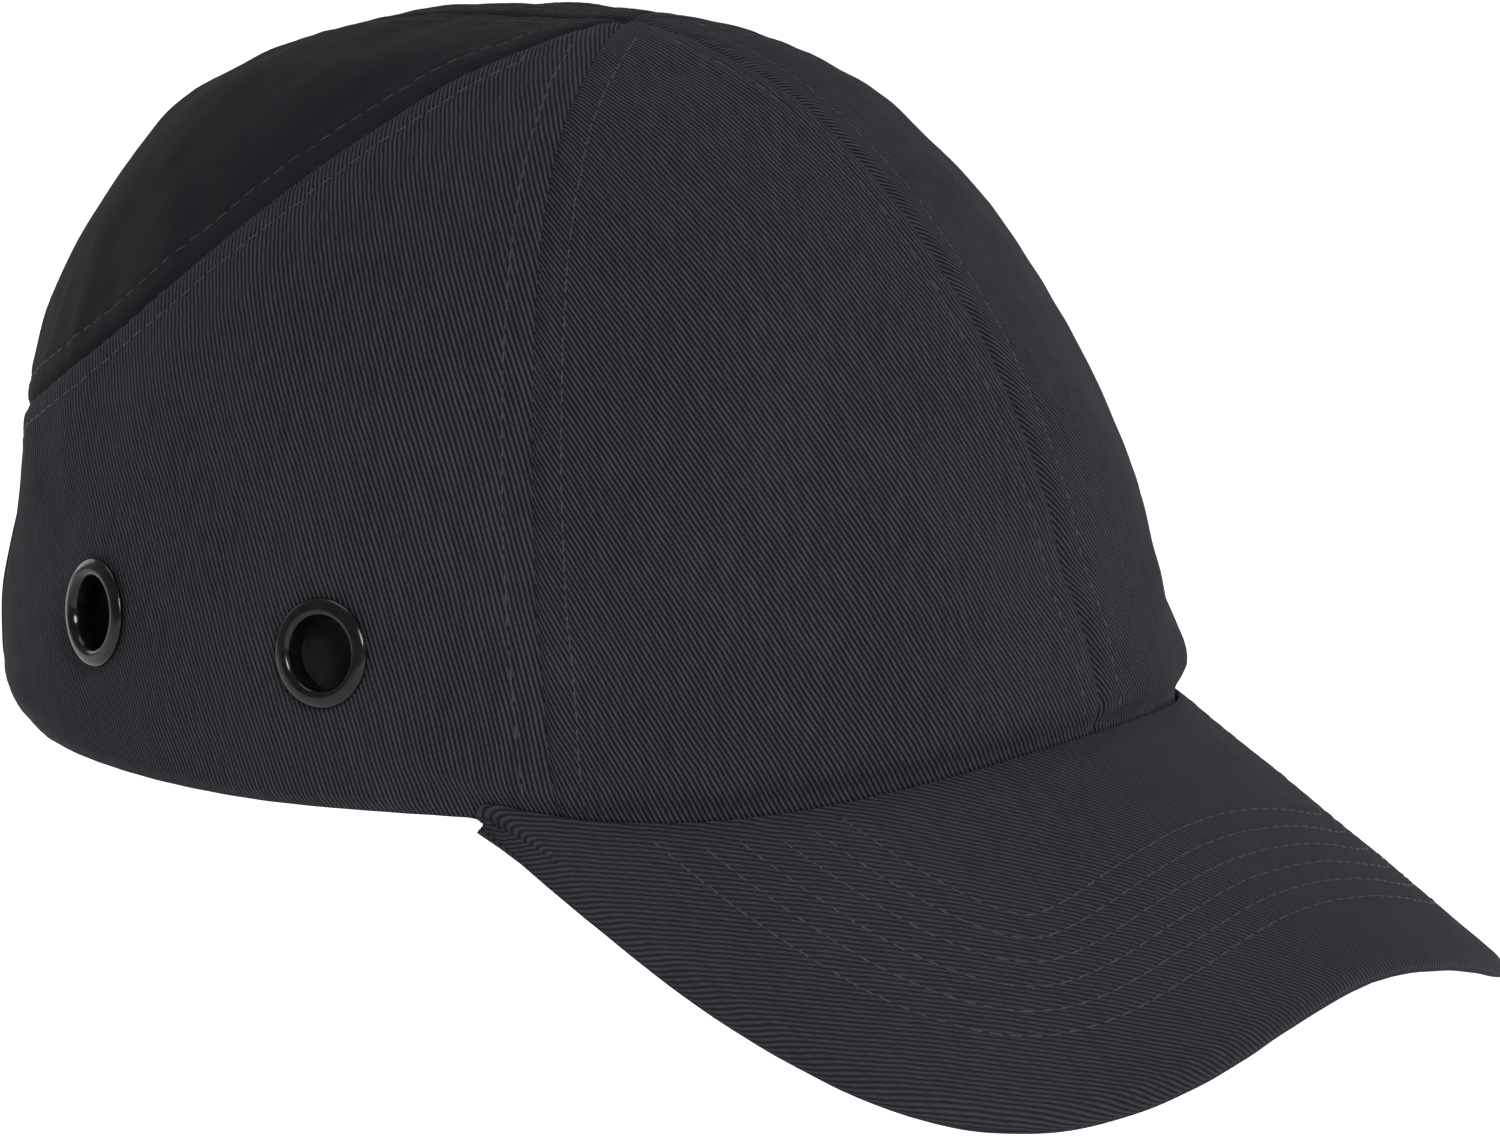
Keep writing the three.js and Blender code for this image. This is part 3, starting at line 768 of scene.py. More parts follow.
def even(shape: CrownShape, line: np.ndarray, count: int = 200) -> np.ndarray:
    """The same line of disc points, at an even spacing on the crown.

    Args:
        shape: The crown.
        line: Disc points.
        count: How many points to give.

    Returns:
        Disc points.
    """
    travel = along(shape.from_disc(line))
    marks = np.linspace(0, travel[-1], count)
    return np.stack([np.interp(marks, travel, line[:, axis]) for axis in range(2)], axis=1)


@dataclass
class Thread:
    """A row of machine stitches lying on a finished surface."""

    pitch: float = 3.3
    length: float = 2.5
    width: float = 0.34
    height: float = 0.22
    sides: int = 6
    shares: tuple[float, ...] = (-0.5, -0.42, -0.2, 0.2, 0.42, 0.5)
    girths: tuple[float, ...] = (0.25, 0.8, 1.0, 1.0, 0.8, 0.25)

    def model(self) -> tuple[np.ndarray, list[tuple[int, ...]]]:
        """One stitch along X, resting on Z = 0: its points and faces.

        Returns:
            The points in millimetres, and the vertex numbers of each face.
        """
        bpy.ops.object.select_all(action="DESELECT")
        bpy.ops.mesh.primitive_cylinder_add(vertices=self.sides, radius=0.5, depth=1, end_fill_type="NGON")
        bar = bpy.context.active_object
        bar.data.transform(Matrix.Rotation(math.pi / 2, 4, "Y"))
        only(bar)
        bpy.ops.object.mode_set(mode="EDIT")
        bpy.ops.mesh.select_all(action="SELECT")
        for share in self.shares[1:-1]:
            bpy.ops.mesh.bisect(plane_co=(share, 0, 0), plane_no=(1, 0, 0))
            bpy.ops.mesh.select_all(action="SELECT")
        bpy.ops.object.mode_set(mode="OBJECT")
        points = np.array([vertex.co[:] for vertex in bar.data.vertices])
        girth = np.interp(points[:, 0], self.shares, self.girths)
        points[:, 1] *= girth * self.width
        points[:, 2] *= girth * self.height
        points[:, 2] += girth * self.height * 0.35 - 0.06
        points[:, 0] *= self.length
        faces = [tuple(face.vertices) for face in bar.data.polygons]
        bpy.data.objects.remove(bar)
        return points, faces

    def sew(self, name: str, rows: Iterable[np.ndarray], cloth: BVHTree) -> bpy.types.Object:
        """Sews rows of stitches on a surface.

        Args:
            name: The new piece's name.
            rows: Lines of points in millimetres near the surface.
            cloth: The finished surface, in metres.

        Returns:
            One mesh with every stitch.
        """
        shape, faces = self.model()
        points: list[np.ndarray] = []
        turned: list[tuple[int, ...]] = []
        for row in rows:
            spots = resample(row, self.pitch, self.pitch / 2)
            for index in range(len(spots)):
                ahead = spots[min(index + 1, len(spots) - 1)] - spots[max(index - 1, 0)]
                found = cloth.find_nearest(Vector(spots[index] * MM), 0.006)
                if found[0] is None:
                    continue
                up = np.array(found[1])
                run = ahead - up * (ahead @ up)
                if np.linalg.norm(run) < 1e-6:
                    continue
                run = unit(run)
                frame = np.stack([run, np.cross(up, run), up])
                base = len(points) * len(shape)
                points.append(shape @ frame + np.array(found[0]) / MM)
                turned.extend(tuple(base + corner for corner in face) for face in faces)
        mesh = bpy.data.meshes.new(name)
        mesh.from_pydata((np.concatenate(points) * MM).tolist(), [], turned)
        mesh.shade_smooth()
        obj = bpy.data.objects.new(name, mesh)
        bpy.context.scene.collection.objects.link(obj)
        return obj


# ---- Finishes ----


class Nodes:
    """Builds one material's nodes."""

    def __init__(self, name: str) -> None:
        """Starts a material with one surface shader.

        Args:
            name: The material's name.
        """
        self.material = bpy.data.materials.new(name)
        self.material.use_nodes = True
        self.tree = self.material.node_tree
        self.shader = next(node for node in self.tree.nodes if node.type == "BSDF_PRINCIPLED")
        self.source = self.add("ShaderNodeTexCoord")

    def add(self, kind: str, **values: object) -> bpy.types.Node:
        """Adds a node and sets its properties.

        Args:
            kind: The node's type.
            values: Its properties.

        Returns:
            The node.
        """
        node = self.tree.nodes.new(kind)
        for key, value in values.items():
            setattr(node, key, value)
        return node

    def feed(self, value: object, socket: bpy.types.NodeSocket) -> None:
        """Joins a socket to another, or sets its own value."""
        if isinstance(value, bpy.types.NodeSocket):
            self.tree.links.new(value, socket)
        else:
            socket.default_value = value

    def sum(
        self, kind: str, first: object, second: object = 0.0, third: object = None
    ) -> bpy.types.NodeSocket:
        """One step of arithmetic.

        Args:
            kind: The operation.
            first: Its first value.
            second: Its second value, if any.
            third: Its third value, if any.

        Returns:
            The result's socket.
        """
        node = self.add("ShaderNodeMath", operation=kind)
        for value, socket in zip((first, second, third), node.inputs):
            if value is not None:
                self.feed(value, socket)
        return node.outputs[0]

    def place(
        self, turn: float = 0.0, scale: Sequence[float] = (1, 1, 1), cloth: bool = True
    ) -> bpy.types.NodeSocket:
        """Coordinates in metres, from the cloth's own map or the object.

        Args:
            turn: A turn about Z, in radians.
            scale: A stretch along each axis.
            cloth: Whether the cloth's map is used.

        Returns:
            The result's socket.
        """
        node = self.add("ShaderNodeMapping")
        self.feed(self.source.outputs["UV" if cloth else "Object"], node.inputs["Vector"])
        node.inputs["Rotation"].default_value = (0, 0, turn)
        node.inputs["Scale"].default_value = tuple(scale)
        return node.outputs[0]

    def noise(self, where: bpy.types.NodeSocket, scale: float, detail: float = 2.0) -> bpy.types.NodeSocket:
        """A noise of 0 to 1.

        Args:
            where: Coordinates.
            scale: Features in a metre.
            detail: Levels of finer noise.

        Returns:
            The result's socket.
        """
        node = self.add("ShaderNodeTexNoise")
        self.feed(where, node.inputs["Vector"])
        node.inputs["Scale"].default_value = scale
        node.inputs["Detail"].default_value = detail
        return node.outputs[0]

    def cells(self, where: bpy.types.NodeSocket, scale: float) -> bpy.types.NodeSocket:
        """Distance to the nearest of many scattered points.

        Args:
            where: Coordinates.
            scale: Cells in a metre.

        Returns:
            The result's socket.
        """
        node = self.add("ShaderNodeTexVoronoi")
        self.feed(where, node.inputs["Vector"])
        node.inputs["Scale"].default_value = scale
        return node.outputs["Distance"]

    def axes(self, where: bpy.types.NodeSocket) -> bpy.types.Node:
        """Splits a vector.

        Args:
            where: The vector.

        Returns:
            The node, with X, Y and Z outputs.
        """
        node = self.add("ShaderNodeSeparateXYZ")
        self.feed(where, node.inputs[0])
        return node

    def spread(
        self, value: bpy.types.NodeSocket, low: float, high: float, to_low: float, to_high: float
    ) -> bpy.types.NodeSocket:
        """Maps one range of values smoothly to another.

        Args:
            value: The value.
            low: Where the first range starts.
            high: Where it ends.
            to_low: Where the second range starts.
            to_high: Where it ends.

        Returns:
            The result's socket.
        """
        node = self.add("ShaderNodeMapRange", interpolation_type="SMOOTHSTEP")
        for given, socket in zip((value, low, high, to_low, to_high), node.inputs):
            self.feed(given, socket)
        return node.outputs[0]

    def blend(self, share: object, first: Sequence[float], second: Sequence[float]) -> bpy.types.NodeSocket:
        """Mixes two colours, given as light from 0 to 1.

        Args:
            share: How much of the second.
            first: The first colour.
            second: The second colour.

        Returns:
            The result's socket.
        """
        node = self.add("ShaderNodeMix", data_type="RGBA")
        self.feed(share, node.inputs["Factor"])
        self.feed((*first, 1.0), node.inputs[6])
        self.feed((*second, 1.0), node.inputs[7])
        return node.outputs[2]

    def bump(
        self, height: bpy.types.NodeSocket, depth: float, under: bpy.types.NodeSocket | None = None
    ) -> bpy.types.NodeSocket:
        """Bump of a depth in metres, over another bump if given.

        Args:
            height: The height, from 0 to 1.
            depth: What a height of 1 stands for.
            under: The normal of the bump below.

        Returns:
            The normal.
        """
        node = self.add("ShaderNodeBump")
        node.inputs["Strength"].default_value = 1.0
        node.inputs["Distance"].default_value = depth
        self.feed(height, node.inputs["Height"])
        if under is not None:
            self.feed(under, node.inputs["Normal"])
        return node.outputs[0]

    def finish(
        self, colour: object, roughness: object, normal: bpy.types.NodeSocket | None = None, **plain: object
    ) -> bpy.types.Material:
        """Feeds the shader and gives the material.

        Args:
            colour: A colour or its socket.
            roughness: A roughness or its socket.
            normal: The normal, if bumped.
            plain: Other values of the shader's own sockets.

        Returns:
            The material.
        """
        self.feed(colour, self.shader.inputs["Base Color"])
        self.feed(roughness, self.shader.inputs["Roughness"])
        if normal is not None:
            self.feed(normal, self.shader.inputs["Normal"])
        for key, value in plain.items():
            self.shader.inputs[key.replace("_", " ")].default_value = value
        return self.material


Colour = tuple[float, float, float]


@dataclass(frozen=True)
class Twill:
    """Cotton twill: diagonal ribs with slubs and faint fading; the ribs' crests carry painted light and the
    valleys between them painted shade.
    """

    name: str
    # crest: the colour with painted light on the ribs' crests; valley: the colour with painted shade between
    # the ribs.
    crest: Colour
    valley: Colour
    turn: float
    pitch: float = 0.86
    depth: float = 0.2
    sheen: float = 0.03

    def material(self) -> bpy.types.Material:
        """Builds the material.

        Returns:
            The material.
        """
        nodes = Nodes(self.name)
        flat = nodes.place()
        sway = nodes.noise(flat, 160.0, 3.0)
        turned = nodes.axes(nodes.place(math.radians(self.turn), (1 / (self.pitch * MM),) * 3))
        across = nodes.sum("MULTIPLY_ADD", sway, 0.55, turned.outputs["Y"])
        saw = nodes.sum("PINGPONG", across, 0.5)
        rib = nodes.spread(saw, 0.08, 0.38, 0.0, 1.0)
        lane = nodes.sum("FLOOR", across)
        step = nodes.sum("MULTIPLY_ADD", lane, 0.37, nodes.sum("MULTIPLY", turned.outputs["X"], 1.35))
        yarn = nodes.spread(nodes.sum("PINGPONG", step, 0.5), 0.0, 0.3, 0.84, 1.0)
        weave = nodes.sum("MULTIPLY", rib, yarn)
        drawn_out = nodes.place(math.radians(self.turn), (1, 0.18, 1))
        slub = nodes.spread(nodes.noise(drawn_out, 900.0, 2.0), 0.35, 0.7, 0.75, 1.15)
        fade = nodes.spread(nodes.noise(flat, 22.0, 4.0), 0.25, 0.75, -0.05, 0.06)
        lint = nodes.spread(nodes.cells(flat, 900.0), 0.02, 0.10, 0.35, 0.0)
        light = nodes.sum("ADD", nodes.sum("MULTIPLY", weave, slub), fade)
        light = nodes.sum("ADD", light, nodes.sum("MULTIPLY", lint, nodes.spread(sway, 0.55, 0.75, 0.0, 1.0)))
        # Painted light and shade: the colour follows the ribs' height, light on the crests and dark in the
        # valleys.
        colour = nodes.blend(light, self.valley, self.crest)
        fuzz = nodes.bump(nodes.noise(flat, 2600.0, 2.0), 0.00005)
        normal = nodes.bump(weave, self.depth * MM, fuzz)
        rough = nodes.spread(weave, 0.0, 1.0, 0.95, 0.78)
        material = nodes.finish(
            colour, rough, normal, Specular_IOR_Level=0.06, Sheen_Weight=self.sheen, Sheen_Roughness=0.45
        )
        nodes.shader.inputs["Sheen Tint"].default_value = (0.8, 0.84, 0.95, 1.0)
        return material


@dataclass(frozen=True)
class Tape:
    """Woven tape: fine cross ribs."""

    name: str
    light: Colour
    dark: Colour
    pitch: float = 0.7

    def material(self) -> bpy.types.Material:
        """Builds the material.

        Returns:
            The material.
        """
        nodes = Nodes(self.name)
        parts = nodes.axes(nodes.place(0, (1 / (self.pitch * MM),) * 3))
        ribs = nodes.spread(nodes.sum("PINGPONG", parts.outputs["Y"], 0.5), 0.05, 0.4, 0.0, 1.0)
        warp_ends = nodes.sum("PINGPONG", nodes.sum("MULTIPLY", parts.outputs["X"], 1.7), 0.5)
        warps = nodes.spread(warp_ends, 0.0, 0.4, 0.5, 1.0)
        weave = nodes.sum("MULTIPLY", ribs, warps)
        fade = nodes.spread(nodes.noise(nodes.place(), 90.0, 3.0), 0.3, 0.7, -0.12, 0.12)
        colour = nodes.blend(nodes.sum("ADD", weave, fade), self.dark, self.light)
        normal = nodes.bump(weave, 0.00012)
        return nodes.finish(colour, 0.88, normal, Specular_IOR_Level=0.2, Sheen_Weight=0.04)


@dataclass(frozen=True)
class Brushed:
    """Brushed cloth: short tangled nap."""

    name: str
    light: Colour
    dark: Colour
    nap: float = 700.0
    depth: float = 0.25

    def material(self) -> bpy.types.Material:
        """Builds the material.

        Returns:
            The material.
        """
        nodes = Nodes(self.name)
        where = nodes.place(cloth=False)
        nap = nodes.noise(where, self.nap, 4.0)
        clump = nodes.noise(where, self.nap / 6, 3.0)
        height = nodes.sum("MULTIPLY_ADD", clump, 0.6, nap)
        colour = nodes.blend(nodes.spread(height, 0.5, 1.1, 0.0, 1.0), self.dark, self.light)
        normal = nodes.bump(height, self.depth * MM)
        return nodes.finish(
            colour, 0.96, normal, Specular_IOR_Level=0.2, Sheen_Weight=0.12, Sheen_Roughness=0.5
        )


@dataclass(frozen=True)
class Foam:
    """Closed-cell foam: fine pits under a faint skin."""

    name: str
    light: Colour
    dark: Colour

    def material(self) -> bpy.types.Material:
        """Builds the material.

        Returns:
            The material.
        """
        nodes = Nodes(self.name)
        where = nodes.place(cloth=False)
        pits = nodes.spread(nodes.cells(where, 1300.0), 0.1, 0.55, 0.0, 1.0)
        fade = nodes.noise(where, 60.0, 3.0)
        height = nodes.sum("MULTIPLY_ADD", fade, 0.3, pits)
        colour = nodes.blend(nodes.spread(height, 0.1, 1.2, 0.0, 1.0), self.dark, self.light)
        return nodes.finish(colour, 0.9, nodes.bump(pits, 0.0001), Specular_IOR_Level=0.3)


@dataclass(frozen=True)
class Moulded:
    """Moulded plastic: a fine eroded grain and worn, slightly glossier high spots."""

    name: str
    light: Colour
    dark: Colour
    rough: tuple[float, float] = (0.38, 0.55)

    def material(self) -> bpy.types.Material:
        """Builds the material.

        Returns:
            The material.
        """
        nodes = Nodes(self.name)
        where = nodes.place(cloth=False)
        grain = nodes.noise(where, 1500.0, 2.0)
        flow = nodes.noise(where, 30.0, 4.0)
        colour = nodes.blend(nodes.spread(flow, 0.3, 0.7, 0.0, 1.0), self.dark, self.light)
        rough = nodes.spread(nodes.noise(where, 140.0, 3.0), 0.3, 0.7, self.rough[0], self.rough[1])
        return nodes.finish(colour, rough, nodes.bump(grain, 0.00003), Specular_IOR_Level=0.45)


@dataclass(frozen=True)
class Enamel:
    """Gloss enamel over pressed metal, with slight orange peel and rubbed spots."""

    name: str
    light: Colour
    dark: Colour

    def material(self) -> bpy.types.Material:
        """Builds the material.

        Returns:
            The material.
        """
        nodes = Nodes(self.name)
        where = nodes.place(cloth=False)
        share = nodes.spread(nodes.noise(where, 260.0, 3.0), 0.35, 0.65, 0.0, 1.0)
        colour = nodes.blend(share, self.dark, self.light)
        rough = nodes.spread(nodes.noise(where, 500.0, 4.0), 0.35, 0.75, 0.14, 0.26)
        normal = nodes.bump(nodes.noise(where, 420.0, 2.0), 0.00004)
        return nodes.finish(
            colour, rough, normal, Specular_IOR_Level=0.22, Coat_Weight=0.08, Coat_Roughness=0.08
        )


@dataclass(frozen=True)
class Yarn:
    """Sewing thread: a tight twist along each stitch."""

    name: str
    light: Colour
    dark: Colour

    def material(self) -> bpy.types.Material:
        """Builds the material.

        Returns:
            The material.
        """
        nodes = Nodes(self.name)
        where = nodes.place(cloth=False)
        ply = nodes.noise(where, 4200.0, 2.0)
        colour = nodes.blend(nodes.spread(ply, 0.35, 0.65, 0.0, 1.0), self.dark, self.light)
        return nodes.finish(colour, 0.6, nodes.bump(ply, 0.00006), Specular_IOR_Level=0.3, Sheen_Weight=0.05)


@dataclass(frozen=True)
class Paper:
    """The pale seamless sheet that the cap is shown over."""

    name: str = "pale_paper"

    def material(self) -> bpy.types.Material:
        """Builds the material.

        Returns:
            The material.
        """
        nodes = Nodes(self.name)
        where = nodes.place(cloth=False)
        tooth = nodes.noise(where, 900.0, 3.0)
        colour = nodes.blend(nodes.spread(tooth, 0.3, 0.7, 0.0, 1.0), (0.90, 0.90, 0.90), (0.93, 0.93, 0.93))
        paper = nodes.finish(colour, 0.9, nodes.bump(tooth, 0.00002), Specular_IOR_Level=0.1)
        nodes.shader.inputs["Emission Color"].default_value = (1, 1, 1, 1)
        nodes.shader.inputs["Emission Strength"].default_value = 0.5
        return paper


# ---- Pieces ----


@dataclass
class Palette:
    """Every finish of the cap, built once."""

    made: dict[str, bpy.types.Material] = field(default_factory=dict)

    def of(self, finish: object) -> bpy.types.Material:
        """The material of a finish."""
        if finish.name not in self.made:
            self.made[finish.name] = finish.material()
        return self.made[finish.name]


# Each pair is a twill's crest colour, with painted light, and its valley colour, with painted shade.
CHARCOAL = ((0.0300, 0.0312, 0.0375), (0.0042, 0.0043, 0.0054))
# The rear crown panels' colours: the same charcoal twill darkened with painted shade, for the shade on the
# rear of the crown.
PAINTED_SHADE_CHARCOAL = ((0.0105, 0.0100, 0.0130), (0.0050, 0.0048, 0.0062))
VISOR_CLOTH = ((0.0270, 0.0282, 0.0338), (0.0085, 0.0088, 0.0108))
SIDE_TWILL = Twill("side_twill", *CHARCOAL, turn=-68.0)
FRONT_TWILL = Twill("front_twill", *CHARCOAL, turn=-66.0)
# The rear crown panels' twill, darker with painted shade.
SHADED_CROWN_TWILL = Twill("crown_twill", *PAINTED_SHADE_CHARCOAL, turn=-60.0, pitch=0.6, depth=0.05, sheen=0.02)
VISOR_TWILL = Twill("visor_twill", *VISOR_CLOTH, turn=-58.0, pitch=0.8, depth=0.12)
STRAP_TWILL = Twill("strap_twill", *CHARCOAL, turn=45.0)
SEAM_TAPE = Tape("seam_tape_weave", (0.014, 0.0145, 0.017), (0.005, 0.005, 0.006))
# The sweatband's dark colour is partly its own and partly painted shade: darkened so that it reads as the
# shade inside the cap through the eyelet holes.
BAND_CLOTH_AND_SHADE = Brushed("band_cloth", (0.0095, 0.0098, 0.0115), (0.0030, 0.0031, 0.0037))
PAD_FOAM = Foam("pad_foam", (0.034, 0.035, 0.040), (0.013, 0.0135, 0.0155))
SHELL_PLASTIC = Moulded("shell_plastic_grain", (0.012, 0.0125, 0.0145), (0.007, 0.0073, 0.0085))
BOARD_PLASTIC = Moulded("board_plastic_grain", (0.008, 0.008, 0.009), (0.005, 0.005, 0.0055), (0.5, 0.65))
EYELET_ENAMEL = Enamel("eyelet_enamel", (0.0030, 0.0030, 0.0033), (0.0012, 0.0012, 0.0014))
HOOK_PILE = Brushed("hook_pile_nylon", (0.010, 0.010, 0.011), (0.003, 0.003, 0.003), 1600.0, 0.15)
LOOP_PILE = Brushed("loop_pile_nylon", (0.015, 0.015, 0.017), (0.005, 0.005, 0.0055), 1100.0, 0.3)
SEWING = Yarn("charcoal_thread", (0.026, 0.027, 0.032), (0.010, 0.0105, 0.013))
# The rear crown panels' thread: the same charcoal thread darkened with painted shade.
SHADED_SEWING = Yarn("black_thread", (0.015, 0.015, 0.018), (0.007, 0.007, 0.009))


def settle(
    obj: bpy.types.Object,
    material: bpy.types.Material,
    body: str = "cover",
    replaces: Sequence[str] = (),
) -> bpy.types.Object:
    """Finishes a piece: its material, its body and the nodes it stands for.

    Args:
        obj: The finished mesh.
        material: Its material.
        body: The body it rides on.
        replaces: Nodes that it stands for.

    Returns:
        The same object.
    """
    obj.data.materials.clear()
    obj.data.materials.append(material)
    if body:
        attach(obj, body)
    if replaces:
        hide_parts(*replaces)
    log.info("%s: %d faces", obj.name, len(obj.data.polygons))
    return obj


def tree_of(obj: bpy.types.Object) -> BVHTree:
    """A search tree of an object's faces."""
    places = [vertex.co[:] for vertex in obj.data.vertices]
    return BVHTree.FromPolygons(places, [tuple(face.vertices) for face in obj.data.polygons])


@dataclass
class Strip:
    """A band of cloth or tape with its own thickness: rows of points on its outer face."""

    name: str
    points: np.ndarray
    thickness: float
    round_edge: float = 0.0
    inward: bool = False

    def build(self) -> bpy.types.Object:
        """Makes the closed strip, with its UV map in metres of cloth.

        Returns:
            The strip, facing away from the cap's middle.
        """
        rows, columns = self.points.shape[:2]
        obj = new_grid(self.name, columns - 1, rows - 1)
        order, _, _ = grid_order(obj)
        set_points(obj, order, self.points)
        set_uv(obj, order, cloth_plan(self.points))
        turn_outward(obj, (0, 0, 20), self.inward)
        apply_modifier(obj, "SOLIDIFY", thickness=self.thickness * MM, offset=-1)
        if self.round_edge:
            bevel(obj, self.round_edge, 55)
        smooth(obj, 50)
        return obj


@dataclass
class CrownCover:
    """The six panels of the crown, with their seams, stitches, tapes and the bound rear opening."""

    shape: CrownShape
    palette: Palette
    thickness: float = 0.9
    groove: float = 0.75
    groove_width: float = 0.7
    allowance: float = 5.3
    lift: float = 0.16
    row_dip: float = 0.16
    front_bulge: float = 2.0
    rear_bulge: float = 2.4
    tape_half: float = 6.0
    tape_depth: float = 1.9
    tape_thickness: float = 0.45
    eyelet_turns: tuple[float, float] = (math.radians(84), math.radians(115))
    eyelet_rise: float = 27.5
    eyelet_hole: float = 7.3
    lines: dict[str, np.ndarray] = field(init=False)
    seams: dict[str, np.ndarray] = field(init=False)
    edges: dict[Side, np.ndarray] = field(init=False, default_factory=dict)
    top: np.ndarray = field(init=False)

    def __post_init__(self) -> None:
        """Draws the seams once, on the wearer's right."""
        shape = self.shape
        front, rear = shape.front_seam(), shape.rear_seam()
        join = shape.opening_travel_near(shape.from_disc(rear[-1:])[0])
        self.lines = {
            "front_seam": even(shape, front),
            "rear_seam": even(shape, rear),
            "rim_front": even(shape, shape.rim_line(0, math.atan2(*front[0]))),
            "rim_side": even(
                shape, shape.rim_line(math.atan2(*front[0]), math.atan2(*shape.opening_spot(0)))
            ),
            "centre_front": even(shape, shape.meridian(0)),
            "opening_side": even(shape, shape.opening_edge(0, join)),
            "opening_top": even(shape, shape.opening_edge(join)),
        }
        top = self.lines["opening_top"][-1]
        self.lines["centre_rear"] = even(shape, shape.meridian(math.pi, 1 - float(np.hypot(*top))))
        names = ("front_seam", "rear_seam", "centre_front", "centre_rear")
        self.seams = {name: shape.from_disc(self.lines[name]) for name in names}
        self.top = shape.from_disc(np.zeros((1, 2)))[0]

    def patches(self) -> dict[str, tuple[Callable, int, int, tuple[str, ...]]]:
        """Each panel's patch, its columns and rows, and the seams round it.

        Returns:
            The patches by name.
        """
        lines = self.lines
        apex = np.zeros((2, 2))
        return {
            "front_panel": (
                coons(lines["rim_front"], apex, lines["centre_front"], lines["front_seam"]),
                92,
                130,
                ("centre_front", "front_seam"),
            ),
            "side_panel": (
                coons(lines["rim_side"], lines["rear_seam"], lines["front_seam"], lines["opening_side"]),
                150,
                150,
                ("front_seam", "rear_seam"),
            ),
            "rear_crown_panel": (
                coons(lines["opening_top"], apex, lines["rear_seam"][::-1], lines["centre_rear"]),
                80,
                120,
                ("rear_seam", "centre_rear"),
            ),
        }

    def seam_relief(self, points: np.ndarray, line: np.ndarray, seed: int, full: float) -> np.ndarray:
        """How a seam shapes the cloth: its groove, its allowance, its stitch row and its puckers.

        Args:
            points: Rows of points on the plain surface.
            line: The seam's points.
            seed: Which puckers.
            full: How strong the puckers are.

        Returns:
            Millimetres outwards at each point.
        """
        away, place = nearest(points, line)
        relief = -self.groove * np.exp(-((away / self.groove_width) ** 2))
        relief += self.lift * ease(away, 0.7, 2.2) * (1 - ease(away, 5.6, 9.0))
        relief -= self.row_dip * np.exp(-(((away - self.allowance) / 0.75) ** 2))
        random = np.random.default_rng(seed)
        phase = random.uniform(0, 2 * math.pi, 6)
        paces = (5.1, 7.3, 9.7)
        short = sum(np.sin(place * 2 * math.pi / pace + phase[k]) for k, pace in enumerate(paces)) / 3
        paces = (15.0, 23.0, 34.0)
        long = sum(np.sin(place * 2 * math.pi / pace + phase[3 + k]) for k, pace in enumerate(paces)) / 3
        clear = full * ease(np.linalg.norm(points - self.top, axis=-1), 8, 34)
        relief += clear * 0.11 * short * ease(away, 0.5, 2.5) * (1 - ease(away, 5.0, 12.0))
        relief += clear * 0.34 * long * ease(away, 3.0, 9.0) * (1 - ease(away, 12.0, 34.0))
        return relief

    def drape(self, name: str, points: np.ndarray, side: Side) -> np.ndarray:
        """How far the cloth of a panel stands off the plain crown surface.

        Args:
            name: The panel.
            points: Rows of points on the plain surface, on the wearer's right.
            side: Which side of the cap.

        Returns:
            Millimetres outwards.
        """
        of_panel = {"front_panel": 0, "side_panel": 10, "rear_crown_panel": 20}
        seed = 20 + 50 * (side is Side.LEFT) + of_panel[name]
        full = 1.5 if name == "rear_crown_panel" else 1.0
        real = points * np.array([-side.value, 1, 1])
        angle = np.arctan2(-points[..., 0], -points[..., 1])
        drop = points[..., 2] - self.shape.rim(angle)
        above_visor = drop - self.shape.visor_depth
        front = 1 - ease(np.abs(angle), math.radians(58), math.radians(80))
        rear = ease(np.abs(angle), math.radians(118), math.radians(140)) * (name == "side_panel")
        relief = 0.2 + 0.45 * soft_noise(real, 62.0, 11) * ease(drop, 4, 30)
        relief += 0.18 * soft_noise(real, 24.0, 12) * ease(drop, 2, 12)
        relief += 0.05 * soft_noise(real, 8.0, 13)
        for index, seam in enumerate(self.seams.values()):
            relief += self.seam_relief(points, seam, seed + index, full)
        relief = np.maximum(relief, -0.8)
        swell = ease(above_visor, 0.3, 5) * (1 - ease(above_visor, 6, 21))
        relief += front * (self.front_bulge * swell - 0.6 * (1 - ease(above_visor, -1, 3)))
        sag = soft_noise(real * np.array([1, 1, 3.0]), 46.0, 14)
        relief += front * 0.45 * sag * ease(above_visor, 5, 14) * (1 - ease(above_visor, 22, 44))
        relief += rear * self.rear_bulge * ease(drop, 0, 7) * (1 - ease(drop, 17, 38))
        relief -= (1 - front) * 1.3 * (1 - ease(drop, -0.5, 3.4)) ** 2
        if name == "side_panel":
            for turn in self.eyelet_turns:
                centre = self.shape.at_height(np.array(turn), np.array(self.eyelet_rise))
                away = np.linalg.norm(points - centre, axis=-1)
                relief = relief * ease(away, 8.0, 19.0) - 0.15 * (1 - ease(away, 8.5, 15.0))
        return relief

